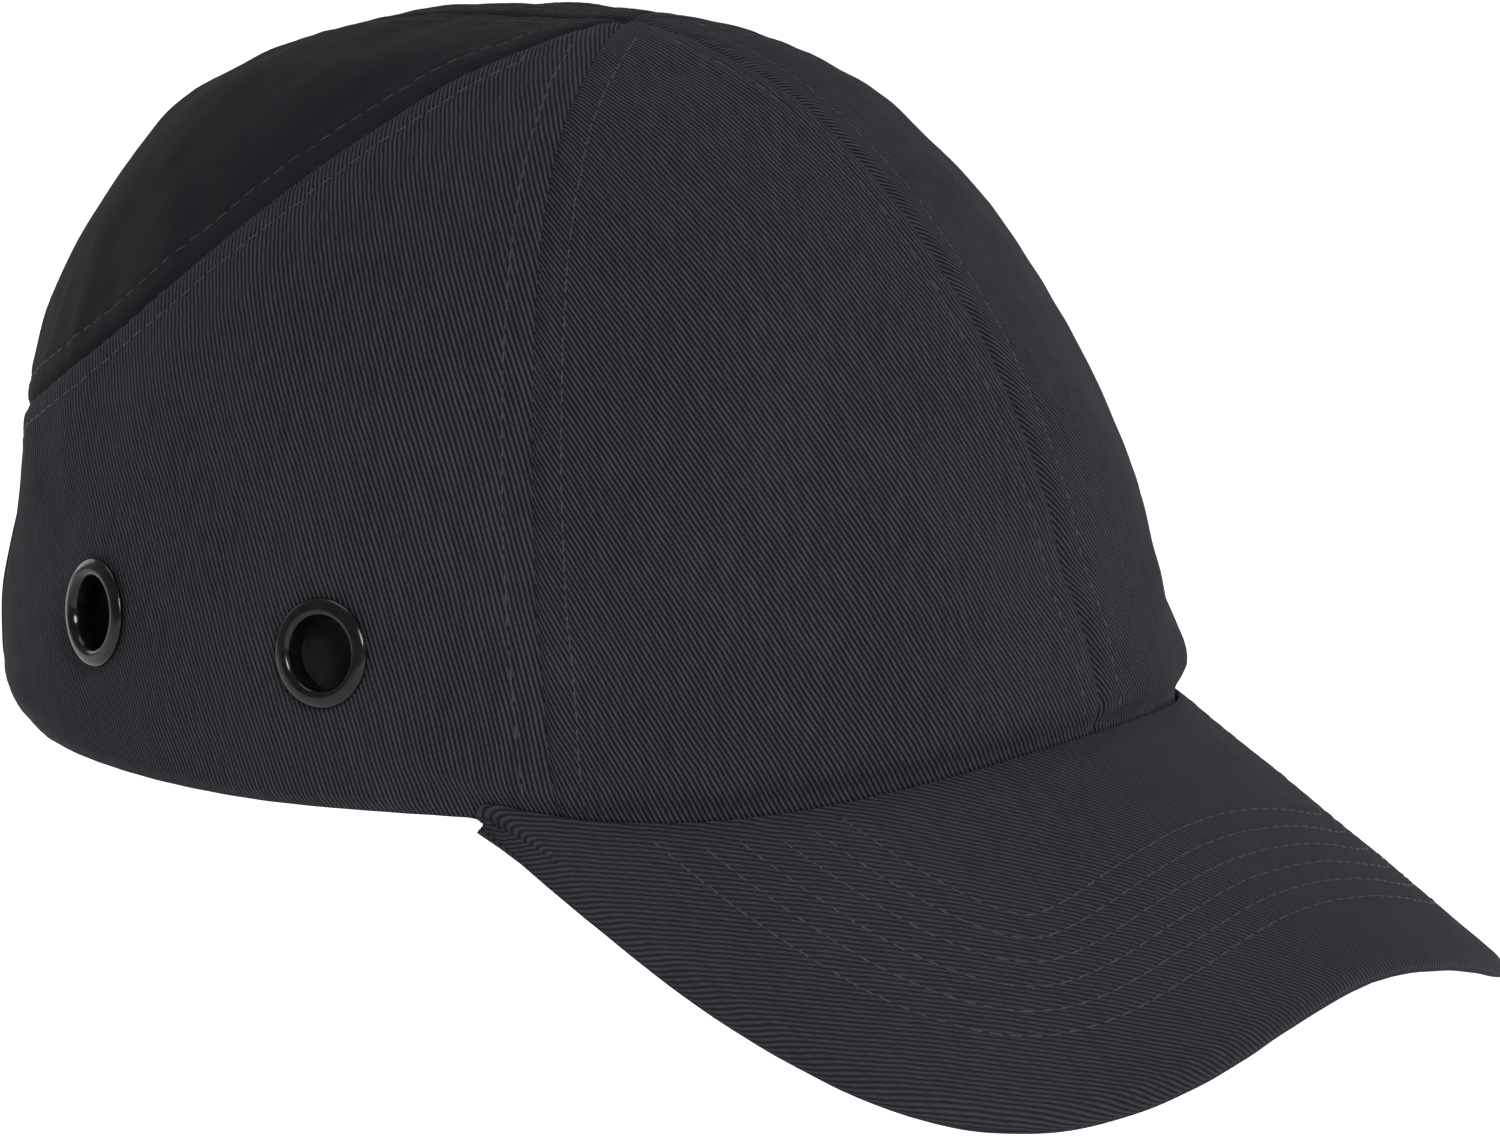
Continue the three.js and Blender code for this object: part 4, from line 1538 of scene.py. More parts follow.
    def panel(self, name: str, side: Side) -> tuple[bpy.types.Object, np.ndarray]:
        """Makes one panel.

        Args:
            name: The panel's kind.
            side: Which side of the cap.

        Returns:
            The piece and its outer face as rows of points.
        """
        patch, columns, rows, _ = self.patches()[name]
        obj = new_grid(f"{name}_{side.word}_cloth", columns, rows)
        order, u, v = grid_order(obj)
        plain = self.shape.from_disc(patch(u, v))
        normals = row_normals(plain)
        outward = plain - np.array([0, 0, 20.0])
        normals *= np.sign((normals * outward).sum(axis=-1, keepdims=True))
        points = plain + normals * self.drape(name, plain, side)[..., None]
        if side is Side.LEFT:
            points = points * np.array([-1, 1, 1])
        set_points(obj, order, points)
        set_uv(obj, order, cloth_plan(points) * np.array([-side.value, 1]))
        turn_outward(obj, (0, 0, 20))
        if name == "side_panel":
            self.edges[side] = points[:, -1]
            self.cut_eyelets(obj, side)
        elif name == "rear_crown_panel":
            self.edges[side] = np.concatenate([self.edges[side], points[0, 1:]])
        tidy_mesh(obj, 2e-5)
        return obj, points

    def cut_eyelets(self, obj: bpy.types.Object, side: Side) -> None:
        """Opens the cloth under each eyelet.

        Args:
            obj: The side panel.
            side: Its side.
        """
        centres = []
        for turn in self.eyelet_turns:
            centre = self.shape.at_height(np.array(turn), np.array(self.eyelet_rise)) * MM
            centres.append(Vector((centre[0] * -side.value, centre[1], centre[2])))
        only(obj)
        bpy.ops.object.mode_set(mode="EDIT")
        bpy.ops.mesh.select_mode(type="FACE")
        bpy.ops.mesh.select_all(action="DESELECT")
        bpy.ops.object.mode_set(mode="OBJECT")
        for face in obj.data.polygons:
            face.select = any((face.center - centre).length < self.eyelet_hole * MM for centre in centres)
        bpy.ops.object.mode_set(mode="EDIT")
        bpy.ops.mesh.delete(type="FACE")
        bpy.ops.mesh.select_mode(type="VERT")
        bpy.ops.object.mode_set(mode="OBJECT")

    def stitch_lines(self, name: str, side: Side) -> list[np.ndarray]:
        """The stitch rows of a panel: one beside each of its seams, and one round the opening.

        Args:
            name: The panel's name.
            side: Its side.

        Returns:
            Lines of points in millimetres.
        """
        shape = self.shape
        rows = []
        centre = shape.from_disc(np.array([self.patches()[name][0](np.array(0.5), np.array(0.45))]))[0]
        seams = list(self.patches()[name][3])
        if name == "side_panel":
            seams.append("opening_side")
        if name == "rear_crown_panel":
            seams.append("opening_top")
        for seam in seams:
            line = shape.from_disc(self.lines[seam])
            ahead = unit(np.gradient(line, axis=0))
            upward = unit(line - np.array([0, 0, 20.0]))
            across = unit(np.cross(ahead, upward))
            across *= np.sign(((centre - line) * across).sum(axis=1, keepdims=True))
            row = line + across * self.allowance
            keep = np.ones(len(row), bool)
            for other in seams:
                if other != seam:
                    away, _ = nearest(row, shape.from_disc(self.lines[other]))
                    keep &= away > self.allowance * 0.96
            angle = np.arctan2(-row[:, 0], -row[:, 1])
            floor = shape.rim(angle) + np.where(np.abs(angle) < shape.visor_end, shape.visor_depth + 2.5, 2.5)
            keep &= row[:, 2] > floor
            row = row[keep]
            if side is Side.LEFT:
                row = row * np.array([-1, 1, 1])
            rows.append(row)
        return rows

    def build(self) -> None:
        """Makes the panels, their stitches, the tapes and the binding."""
        finishes = {
            "front_panel": (FRONT_TWILL, "twill", SEWING),
            "side_panel": (SIDE_TWILL, "twill", SEWING),
            # The rear crown panels take darker copies of the twill and thread: painted shade for the shade on
            # the crown's rear.
            "rear_crown_panel": (SHADED_CROWN_TWILL, "dark_twill", SHADED_SEWING),
        }
        for side in Side:
            for name, (finish, slot, thread) in finishes.items():
                obj, points = self.panel(name, side)
                cloth = tree_of(obj)
                stitches = Thread().sew(f"{name}_{side.word}_stitches", self.stitch_lines(name, side), cloth)
                settle(stitches, self.palette.of(thread))
                apply_modifier(obj, "SOLIDIFY", thickness=self.thickness * MM, offset=-1)
                smooth(obj, 60)
                settle(obj, self.palette.of(finish), replaces=[f"{name}_{side.word}"])
                plan = cloth_plan(points)
                wide = float(np.ptp(plan[..., 0])) * MM
                tall = float(np.ptp(plan[..., 1])) * MM
                area = min(sheet_area(points), wide * tall)
        self.tapes()
        self.binding()

    def tape_points(self, line: np.ndarray, half: float, depth: float, columns: int = 7) -> np.ndarray:
        """Rows of points of a tape that lies along a seam, inside the cover.

        Args:
            line: The seam.
            half: Half the width.
            depth: How far inside the cover.
            columns: Points across.

        Returns:
            Points in millimetres.
        """
        ahead = unit(np.gradient(line, axis=0))
        angle = np.arctan2(-line[:, 0], -line[:, 1])
        outward = unit(line - np.stack([0 * angle, 0 * angle, np.full(len(line), 20.0)], axis=1))
        across = unit(np.cross(ahead, outward))
        outward = unit(np.cross(across, ahead))
        outward *= np.sign((outward * line).sum(axis=1, keepdims=True))
        x = np.linspace(-half, half, columns)
        sag = depth + x**2 / 170.0
        spread = across[:, None, :] * x[None, :, None]
        return line[:, None, :] + spread - outward[:, None, :] * sag[None, :, None]

    def tapes(self) -> None:
        """The tapes that cover the seams inside."""
        shape = self.shape
        front = shape.from_disc(self.lines["centre_front"])
        rear = shape.from_disc(self.lines["centre_rear"])[::-1]
        middle = resample(np.concatenate([front, rear[1:]]), 2.2, 8.0)
        places = {"centre_seam_tape": (middle, ["centre_seam_tape"])}
        for side in Side:
            flip = np.array([-side.value, 1, 1])
            for seam, node in (("front_seam", "side_seam_tape"), ("rear_seam", "rear_seam_tape")):
                line = resample(shape.from_disc(self.lines[seam]) * flip, 2.2, 8.5)
                places[f"{node}_{side.word}"] = (line, [f"{node}_{side.word}"])
        for name, (line, nodes) in places.items():
            points = self.tape_points(line, self.tape_half, self.tape_depth)
            strip = Strip(f"{name}_woven", points, self.tape_thickness)
            settle(strip.build(), self.palette.of(SEAM_TAPE), replaces=nodes)

    def binding(self) -> None:
        """The tape that wraps the edge of the rear opening."""
        whole = np.concatenate([self.edges[Side.RIGHT], self.edges[Side.LEFT][::-1][1:]])
        line = resample(whole, 1.0, 0.6)
        for _ in range(6):
            line[1:-1] = (line[:-2] + 2 * line[1:-1] + line[2:]) / 4
        ahead = unit(np.gradient(line, axis=0))
        outward = unit(line - np.array([0, 0, 20.0]))
        outward = unit(outward - ahead * (outward * ahead).sum(axis=1, keepdims=True))
        away = unit(np.cross(ahead, outward))
        middle = np.array([0, 105.0, 20.0])
        away *= np.sign(((line - middle) * away).sum(axis=1, keepdims=True))
        outer_leg = [(2.8, 0.5), (2.2, 0.7), (0.6, 0.72), (-0.4, 0.4), (-0.85, -0.45)]
        section = outer_leg + [(-0.6, -1.2), (0.3, -1.65), (3.0, -1.8), (6.0, -1.9)]
        points = np.stack([line + away * x + outward * z for x, z in section], axis=1)
        strip = Strip("rear_opening_binding_woven", points, 0.5, inward=True)
        settle(strip.build(), self.palette.of(SEAM_TAPE), replaces=["rear_opening_binding"])


@dataclass
class Visor:
    """The visor's two fabric layers, turned over the board's edge, with six rows of stitches."""

    shape: VisorShape
    palette: Palette
    margin: float = 2.0
    depth: float = 4.5
    thickness: float = 0.65
    columns: int = 200
    rows: int = 84
    first_row: float = 16.5
    row_pitch: float = 5.1
    row_count: int = 6
    seam_turn: float = math.radians(118)
    edge_share: float = 1.0
    root_share: float = 0.994
    end_share: float = 0.04
    board_share: float = 0.945

    def edge_frame(self, swing: np.ndarray) -> tuple[np.ndarray, np.ndarray]:
        """The drawn-in edge in plan and its outward direction.

        Args:
            swing: From -1 on the wearer's left to 1 on the right.

        Returns:
            The edge and unit vectors, both in plan.
        """
        edge = self.shape.outline(swing * self.edge_share, self.margin)
        run = np.gradient(edge, axis=-2)
        out = unit(np.stack([run[..., 1], -run[..., 0]], axis=-1))
        middle = np.array([0.0, -90.0])
        out *= np.sign(((edge - middle) * out).sum(axis=-1, keepdims=True))
        return edge, out

    def face(self, u: np.ndarray, v: np.ndarray, under: bool, laid: bool = False) -> np.ndarray:
        """Rows of points of one layer: from the root to the edge, then round the edge to the seam.

        Args:
            u: Across, from 0 to 1.
            v: From 0 at the root to 1 at the seam in the edge.
            under: Whether it is the lower layer.
            laid: Whether the turned edge is laid out flat, for the cloth's map.

        Returns:
            Points in millimetres.
        """
        flat_share = 0.93
        swing = 2 * u - 1
        edge, out = self.edge_frame(swing)
        root = self.shape.root(swing * self.root_share)
        along_face = np.clip(v / flat_share, 0, 1)[..., None]
        turn_share = np.clip((v - flat_share) / (1 - flat_share), 0, 1)
        whole = math.pi - self.seam_turn if under else self.seam_turn
        turn = turn_share * whole
        reach = self.margin * (turn if laid else np.sin(turn))
        plan = root * (1 - along_face) + edge * along_face + out * reach[..., None]
        drop = self.depth / 2 * (1 - np.cos(turn))
        seam_drop = self.depth / 2 * (1 - math.cos(whole))
        closing = np.sqrt(1 - np.clip((np.abs(swing) - 1) / self.end_share + 1, 0, 1) ** 2)
        drop = seam_drop + (drop - seam_drop) * closing
        return self.shape.lift(plan, self.depth - drop if under else drop)

    def cloth(self, points: np.ndarray) -> np.ndarray:
        """The visor's sheet laid flat: the arch is rolled out across, and the slope lengthens it.

        Args:
            points: Points of the visor.

        Returns:
            Flat places in millimetres.
        """
        steepness = 2 * self.shape.crown.visor_drop / self.shape.crown.half_width**2
        x = points[..., 0]
        across = (x * np.sqrt(1 + (steepness * x) ** 2) + np.arcsinh(steepness * x) / steepness) / 2
        return np.stack([across, -points[..., 1] * math.hypot(1, self.shape.crown.visor_slope)], axis=-1)

    def edge_distance(self, points: np.ndarray) -> np.ndarray:
        """How far points are from the visor's outer edge."""
        edge = self.shape.lift(self.shape.outline(np.linspace(-1, 1, 700), 0))
        return nearest(points, edge)[0]

    def relief(self, points: np.ndarray, v: np.ndarray, under: bool) -> np.ndarray:
        """How the rows of stitches and the edge seam shape the cloth.

        Args:
            points: Points of the layer.
            v: From 0 at the root to 1 at the edge.
            under: Whether it is the lower layer.

        Returns:
            Heights in millimetres.
        """
        away = self.edge_distance(points)
        relief = 0.10 * soft_noise(points, 30.0, 301 + under) + 0.03 * soft_noise(points, 9.0, 303)
        last = self.first_row + self.row_pitch * (self.row_count - 1)
        for index in range(self.row_count):
            relief -= 0.20 * np.exp(-(((away - self.first_row - index * self.row_pitch) / 0.8) ** 2))
        relief += 0.12 * ease(away, 2.5, 7) * (1 - ease(away, last, last + 8))
        relief -= 0.5 * np.exp(-(((1 - v) / 0.018) ** 2))
        return relief * ease(v, 0.0, 0.05)

    def layer(self, under: bool) -> tuple[bpy.types.Object, np.ndarray, np.ndarray]:
        """Makes one layer.

        Args:
            under: Whether it is the lower layer.

        Returns:
            The open sheet, its points and the grid's v values.
        """
        name = "visor_under_cloth" if under else "visor_top_cloth"
        obj = new_grid(name, self.columns, self.rows)
        order, u, v = grid_order(obj)
        stretched = np.where(v < 0.8, v / 0.8 * 0.93, 0.93 + (v - 0.8) / 0.2 * 0.07)
        plain = self.face(u, stretched, under)
        normals = row_normals(plain)
        normals *= np.sign(normals[..., 2:3].mean()) * (-1 if under else 1)
        points = plain + normals * self.relief(plain, stretched, under)[..., None]
        set_points(obj, order, points)
        set_uv(obj, order, self.cloth(self.face(u, stretched, under, laid=True)))
        score = sum(face.normal.z * face.area for face in obj.data.polygons)
        if (score < 0) != under:
            obj.data.flip_normals()
        return obj, points, stretched

    def stitch_rows(self, points: np.ndarray, v: np.ndarray) -> list[np.ndarray]:
        """Lines at even distances from the outer edge, as far as the root.

        Args:
            points: Points of the layer.
            v: From 0 at the root to 1 at the edge.

        Returns:
            Lines of points in millimetres.
        """
        away = self.edge_distance(points)
        rows = []
        for index in range(self.row_count):
            wanted = self.first_row + index * self.row_pitch
            line = []
            for column in range(points.shape[1]):
                gap = away[:, column]
                face = v[:, column] < 0.92
                spots = np.nonzero((gap[:-1] >= wanted) & (gap[1:] < wanted) & face[:-1])[0]
                if len(spots) and spots[-1] > 1:
                    low = spots[-1]
                    share = (gap[low] - wanted) / (gap[low] - gap[low + 1])
                    line.append(points[low, column] * (1 - share) + points[low + 1, column] * share)
            rows.append(np.array(line))
        return rows

    def build(self) -> None:
        """Makes the board, both layers and the stitches."""
        self.board()
        for under in (False, True):
            obj, points, v = self.layer(under)
            word = "under" if under else "top"
            cloth = tree_of(obj)
            thread = Thread(pitch=3.4, length=2.6, height=0.34, width=0.46)
            stitches = thread.sew(f"visor_{word}_stitches", self.stitch_rows(points, v), cloth)
            settle(stitches, self.palette.of(SEWING))
            apply_modifier(obj, "SOLIDIFY", thickness=self.thickness * MM, offset=-1)
            smooth(obj, 60)
            settle(obj, self.palette.of(VISOR_TWILL), replaces=[f"visor_{word}_cover"])
            wide, tall = 0.205, 0.150
            round(min(sheet_area(points), wide * tall), 5)

    def board(self) -> None:
        """The stiff board between the layers, drawn in from their edges."""
        obj = new_grid("visor_board_moulded", 120, 30)
        order, u, v = grid_order(obj)
        swing = (2 * u - 1) * self.board_share
        inner = self.shape.root(swing * self.root_share)
        outer = self.shape.outline(swing * self.edge_share, self.margin + 1.4)
        share = (0.06 + 0.94 * v)[..., None]
        set_points(obj, order, self.shape.lift(inner * (1 - share) + outer * share, 1.25))
        if sum(face.normal.z * face.area for face in obj.data.polygons) < 0:
            obj.data.flip_normals()
        apply_modifier(obj, "SOLIDIFY", thickness=2.0 * MM, offset=-1)
        bevel(obj, 0.5, 55)
        smooth(obj, 50)
        settle(obj, self.palette.of(BOARD_PLASTIC), replaces=["visor_board"])


@dataclass
class HeadBand:
    """The sweatband, the foam behind its front, and the hem tape under them."""

    shape: CrownShape
    palette: Palette
    inset: float = 6.6
    thickness: float = 1.35
    height: float = 32.0
    end: float = math.radians(147)
    fill_inset: float = 2.55
    fill_thickness: float = 3.6
    foam_end: float = math.radians(70)
    hem_height: float = 1.6

    def band(self, inset: float, low: float, high: float, end: float, rows: int) -> np.ndarray:
        """Rows of points that follow the rim.

        Args:
            inset: How far inside the cover's face.
            low: The lowest height.
            high: The greatest height.
            end: The angle at each end.
            rows: Points up.

        Returns:
            Points in millimetres.
        """
        columns = int(end / math.pi * 300)
        angle, rise = np.meshgrid(np.linspace(-end, end, columns), np.linspace(low, high, rows))
        return self.shape.at_height(angle, np.maximum(rise, 1e-3), inset)

    def build(self) -> None:
        """Makes the three pieces and the band's stitches."""
        points = self.band(self.inset, 0.0, self.height, self.end, 28)
        rise = np.linspace(0, 1, 28)[:, None]
        swell = 0.25 * soft_noise(points, 26.0, 71) * ease(rise, 0, 0.2) * (1 - ease(rise, 0.8, 1))
        away = unit(points * np.array([1, 1, 0]))
        points = points - away * (0.25 + np.clip(swell, -0.25, 0.4))[..., None]
        band = Strip("sweatband_brushed", points, self.thickness, 0.4).build()
        cloth = tree_of(band)
        inside = self.inset + self.thickness + 0.4
        rows = [self.band(inside, height, height + 0.5, self.end - 0.02, 2)[0] for height in (3.5, 28.5)]
        settle(Thread().sew("sweatband_stitches", rows, cloth), self.palette.of(SEWING))
        # The band's colour carries painted shade for the inside of the cap.
        settle(band, self.palette.of(BAND_CLOTH_AND_SHADE), replaces=["sweatband"])
        foam_points = self.band(self.fill_inset, self.hem_height + 0.4, self.height - 2, self.foam_end, 12)
        foam = Strip("sweatband_foam_soft", foam_points, self.fill_thickness, 1.0).build()
        settle(foam, self.palette.of(PAD_FOAM), replaces=["sweatband_foam"])
        hem_points = self.band(self.fill_inset, 0.0, self.hem_height, self.end, 4)
        hem = Strip("hem_tape_woven", hem_points, self.fill_thickness, 0.4).build()
        settle(hem, self.palette.of(SEAM_TAPE), replaces=["hem_tape"])


@dataclass
class RearStrap:
    """The rear strap: a hook strap from the right over a loop strap from the left."""

    palette: Palette
    radius: float = 74.312
    centre: float = 34.688
    low: float = 2.5
    width: float = 25.0
    root: float = 49.7
    fold: float = -27.8
    tab: float = 30.2
    loop_from: float = -15.5
    webbing: float = 1.0
    pile: float = 0.5
    gap: float = 0.3

    def strip(
        self,
        depth: float,
        start: float,
        stop: float,
        margin: float,
        tip: float,
        columns: int = 120,
        rows: int = 24,
        tip_at_start: bool = False,
    ) -> np.ndarray:
        """Rows of points on the strap's circle.

        Args:
            depth: How far inside the strap's outer face.
            start: Distance from the middle where it starts.
            stop: Distance from the middle where it ends.
            margin: How far inside the strap's long edges.
            tip: How far the rounded end is drawn in at its corners.
            columns: Points along the strap.
            rows: Points across it.
            tip_at_start: Whether the rounded end is the first one.

        Returns:
            Points in millimetres.
        """
        v, u = np.meshgrid(np.linspace(0, 1, rows), np.linspace(0, 1, columns), indexing="ij")
        corner = tip * (1 - np.sqrt(np.clip(1 - np.abs(2 * v - 1) ** 3, 0, 1)))
        first = np.arcsin((start + (corner if tip_at_start else 0)) / self.radius)
        last = np.arcsin((stop - (0 if tip_at_start else corner)) / self.radius)
        turn = first + (last - first) * u
        reach = self.radius - depth
        z = self.low + margin + (self.width - 2 * margin) * v
        return np.stack([reach * np.sin(turn), self.centre + reach * np.cos(turn), z], axis=-1)

    def edge_rows(self, points: np.ndarray) -> list[np.ndarray]:
        """Stitch rows just inside the strap's long edges."""
        step = max(1, round(len(points) * 0.1))
        return [points[step], points[-1 - step]]

    def build(self) -> None:
        """Makes the two straps and their tapes."""
        points = self.strip(0.0, -self.root, self.tab, 0.0, 7.0)
        hook = Strip("hook_strap_webbing", points, self.webbing, 0.3).build()
        cloth = tree_of(hook)
        stitches = Thread(pitch=3.0, length=2.2).sew("hook_strap_stitches", self.edge_rows(points), cloth)
        for obj, finish in ((hook, STRAP_TWILL), (stitches, SEWING)):
            settle(obj, self.palette.of(finish), body="")
            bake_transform(obj)
        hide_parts("strap_root", "strap_tab")
        depth = self.webbing + self.gap
        nubs = self.strip(depth, self.fold + 2.6, self.tab - 2.6, 2.0, 5.0, 150, 54)
        tape = Strip("hook_tape_pile", nubs, self.pile * 0.6).build()
        self.roughen(tape, 0.16, 77)
        settle(tape, self.palette.of(HOOK_PILE), "strap_tab", ["hook_tape"])
        depth += self.pile + self.gap
        points = self.strip(depth, self.loop_from + 2.6, self.root - 2.6, 2.0, 5.0, 150, 54, True)
        loops = Strip("loop_tape_pile", points, self.pile * 0.7).build()
        self.roughen(loops, 0.12, 78)
        settle(loops, self.palette.of(LOOP_PILE), "cover", ["loop_tape"])
        depth += self.pile + self.gap
        under_points = self.strip(depth, self.loop_from, self.root, 0.0, 7.0, tip_at_start=True)
        under = Strip("loop_strap_webbing", under_points, self.webbing, 0.3).build()
        cloth = tree_of(under)
        edges = self.edge_rows(under_points)
        stitches = Thread(pitch=3.0, length=2.2).sew("loop_strap_stitches", edges, cloth)
        settle(stitches, self.palette.of(SEWING))
        settle(under, self.palette.of(STRAP_TWILL), replaces=["loop_strap"])

    def roughen(self, obj: bpy.types.Object, height: float, seed: int) -> None:
        """Raises a fine pile on a tape.

        Args:
            obj: The tape.
            height: The pile's height.
            seed: The seed of its draws.
        """
        places = np.array([vertex.co[:] for vertex in obj.data.vertices])
        normals = np.array([vertex.normal[:] for vertex in obj.data.vertices])
        rise = np.random.default_rng(seed).uniform(-0.5, 0.5, len(places)) * height * MM
        obj.data.vertices.foreach_set("co", (places + normals * rise[:, None]).ravel())
        obj.data.update()


@dataclass
class Eyelets:
    """Pressed metal eyelets: a rolled flange outside, a barrel through the cloth and a washer inside."""

    shape: CrownShape
    palette: Palette
    turns: tuple[float, float] = (math.radians(84), math.radians(115))
    rise: float = 27.5
    steps: int = 64
    flange: tuple[tuple[float, float], ...] = (
        (9.15, -0.10),
        (9.55, 0.10),
        (9.72, 0.45),
        (9.62, 0.85),
        (9.20, 1.20),
        (8.60, 1.46),
        (7.95, 1.60),
        (7.45, 1.62),
        (7.05, 1.46),
        (6.72, 1.12),
        (6.48, 0.60),
        (6.32, 0.00),
        (6.24, -0.80),
        (6.22, -2.20),
        (6.36, -2.75),
        (6.80, -3.00),
        (7.30, -2.95),
        (7.42, -2.75),
        (7.25, -2.62),
        (6.90, -2.58),
        (6.75, -2.20),
        (6.70, -0.60),
        (6.85, 0.25),
        (7.30, 0.85),
        (8.20, 0.95),
        (9.00, 0.45),
        (9.10, 0.05),
    )
    washer: tuple[tuple[float, float], ...] = (
        (6.95, -2.02),
        (8.20, -1.98),
        (9.40, -1.95),
        (9.62, -2.12),
        (9.50, -2.34),
        (8.20, -2.42),
        (6.95, -2.42),
    )

    def ring(self, name: str, outline: Sequence[tuple[float, float]]) -> bpy.types.Object:
        """Spins a closed outline of radius and height round the Z axis.

        Args:
            name: The object's name.
            outline: Radii and heights in millimetres.

        Returns:
            The ring.
        """
        bpy.ops.object.select_all(action="DESELECT")
        bpy.ops.mesh.primitive_circle_add(vertices=len(outline), radius=1, fill_type="NOTHING")
        obj = bpy.context.active_object
        obj.name = obj.data.name = name
        for vertex, (radius, height) in zip(obj.data.vertices, outline):
            vertex.co = (radius * MM, 0, height * MM)
        bpy.ops.object.mode_set(mode="EDIT")
        bpy.ops.mesh.select_all(action="SELECT")
        bpy.ops.mesh.spin(steps=self.steps, angle=2 * math.pi, center=(0, 0, 0), axis=(0, 0, 1))
        bpy.ops.object.mode_set(mode="OBJECT")
        tidy_mesh(obj, 1e-6, outward=True)
        smooth(obj, 70)
        return obj

    def build(self) -> None:
        """Places a copy of each ring at the four eyelets."""
        models = {
            "eyelet": self.ring("eyelet_model", self.flange),
            "eyelet_washer": self.ring("washer_model", self.washer),
        }
        for side in Side:
            for turn, order in zip(self.turns, ("front", "rear")):
                centre = self.shape.at_height(np.array(turn), np.array(self.rise))
                outward = self.shape.outward(turn, self.rise)
                if side is Side.LEFT:
                    centre, outward = centre * np.array([-1, 1, 1]), outward * np.array([-1, 1, 1])
                spin = Vector(outward).to_track_quat("Z", "Y").to_matrix().to_4x4()
                for kind, model in models.items():
                    obj = bpy.data.objects.new(f"{kind}_{side.word}_{order}_enamelled", model.data.copy())
                    bpy.context.scene.collection.objects.link(obj)
                    obj.data.transform(Matrix.Translation(Vector(centre) * MM) @ spin)
                    node = f"{kind}_{side.word}_{order}"
                    settle(obj, self.palette.of(EYELET_ENAMEL), replaces=[node])
        for model in models.values():
            bpy.data.objects.remove(model)


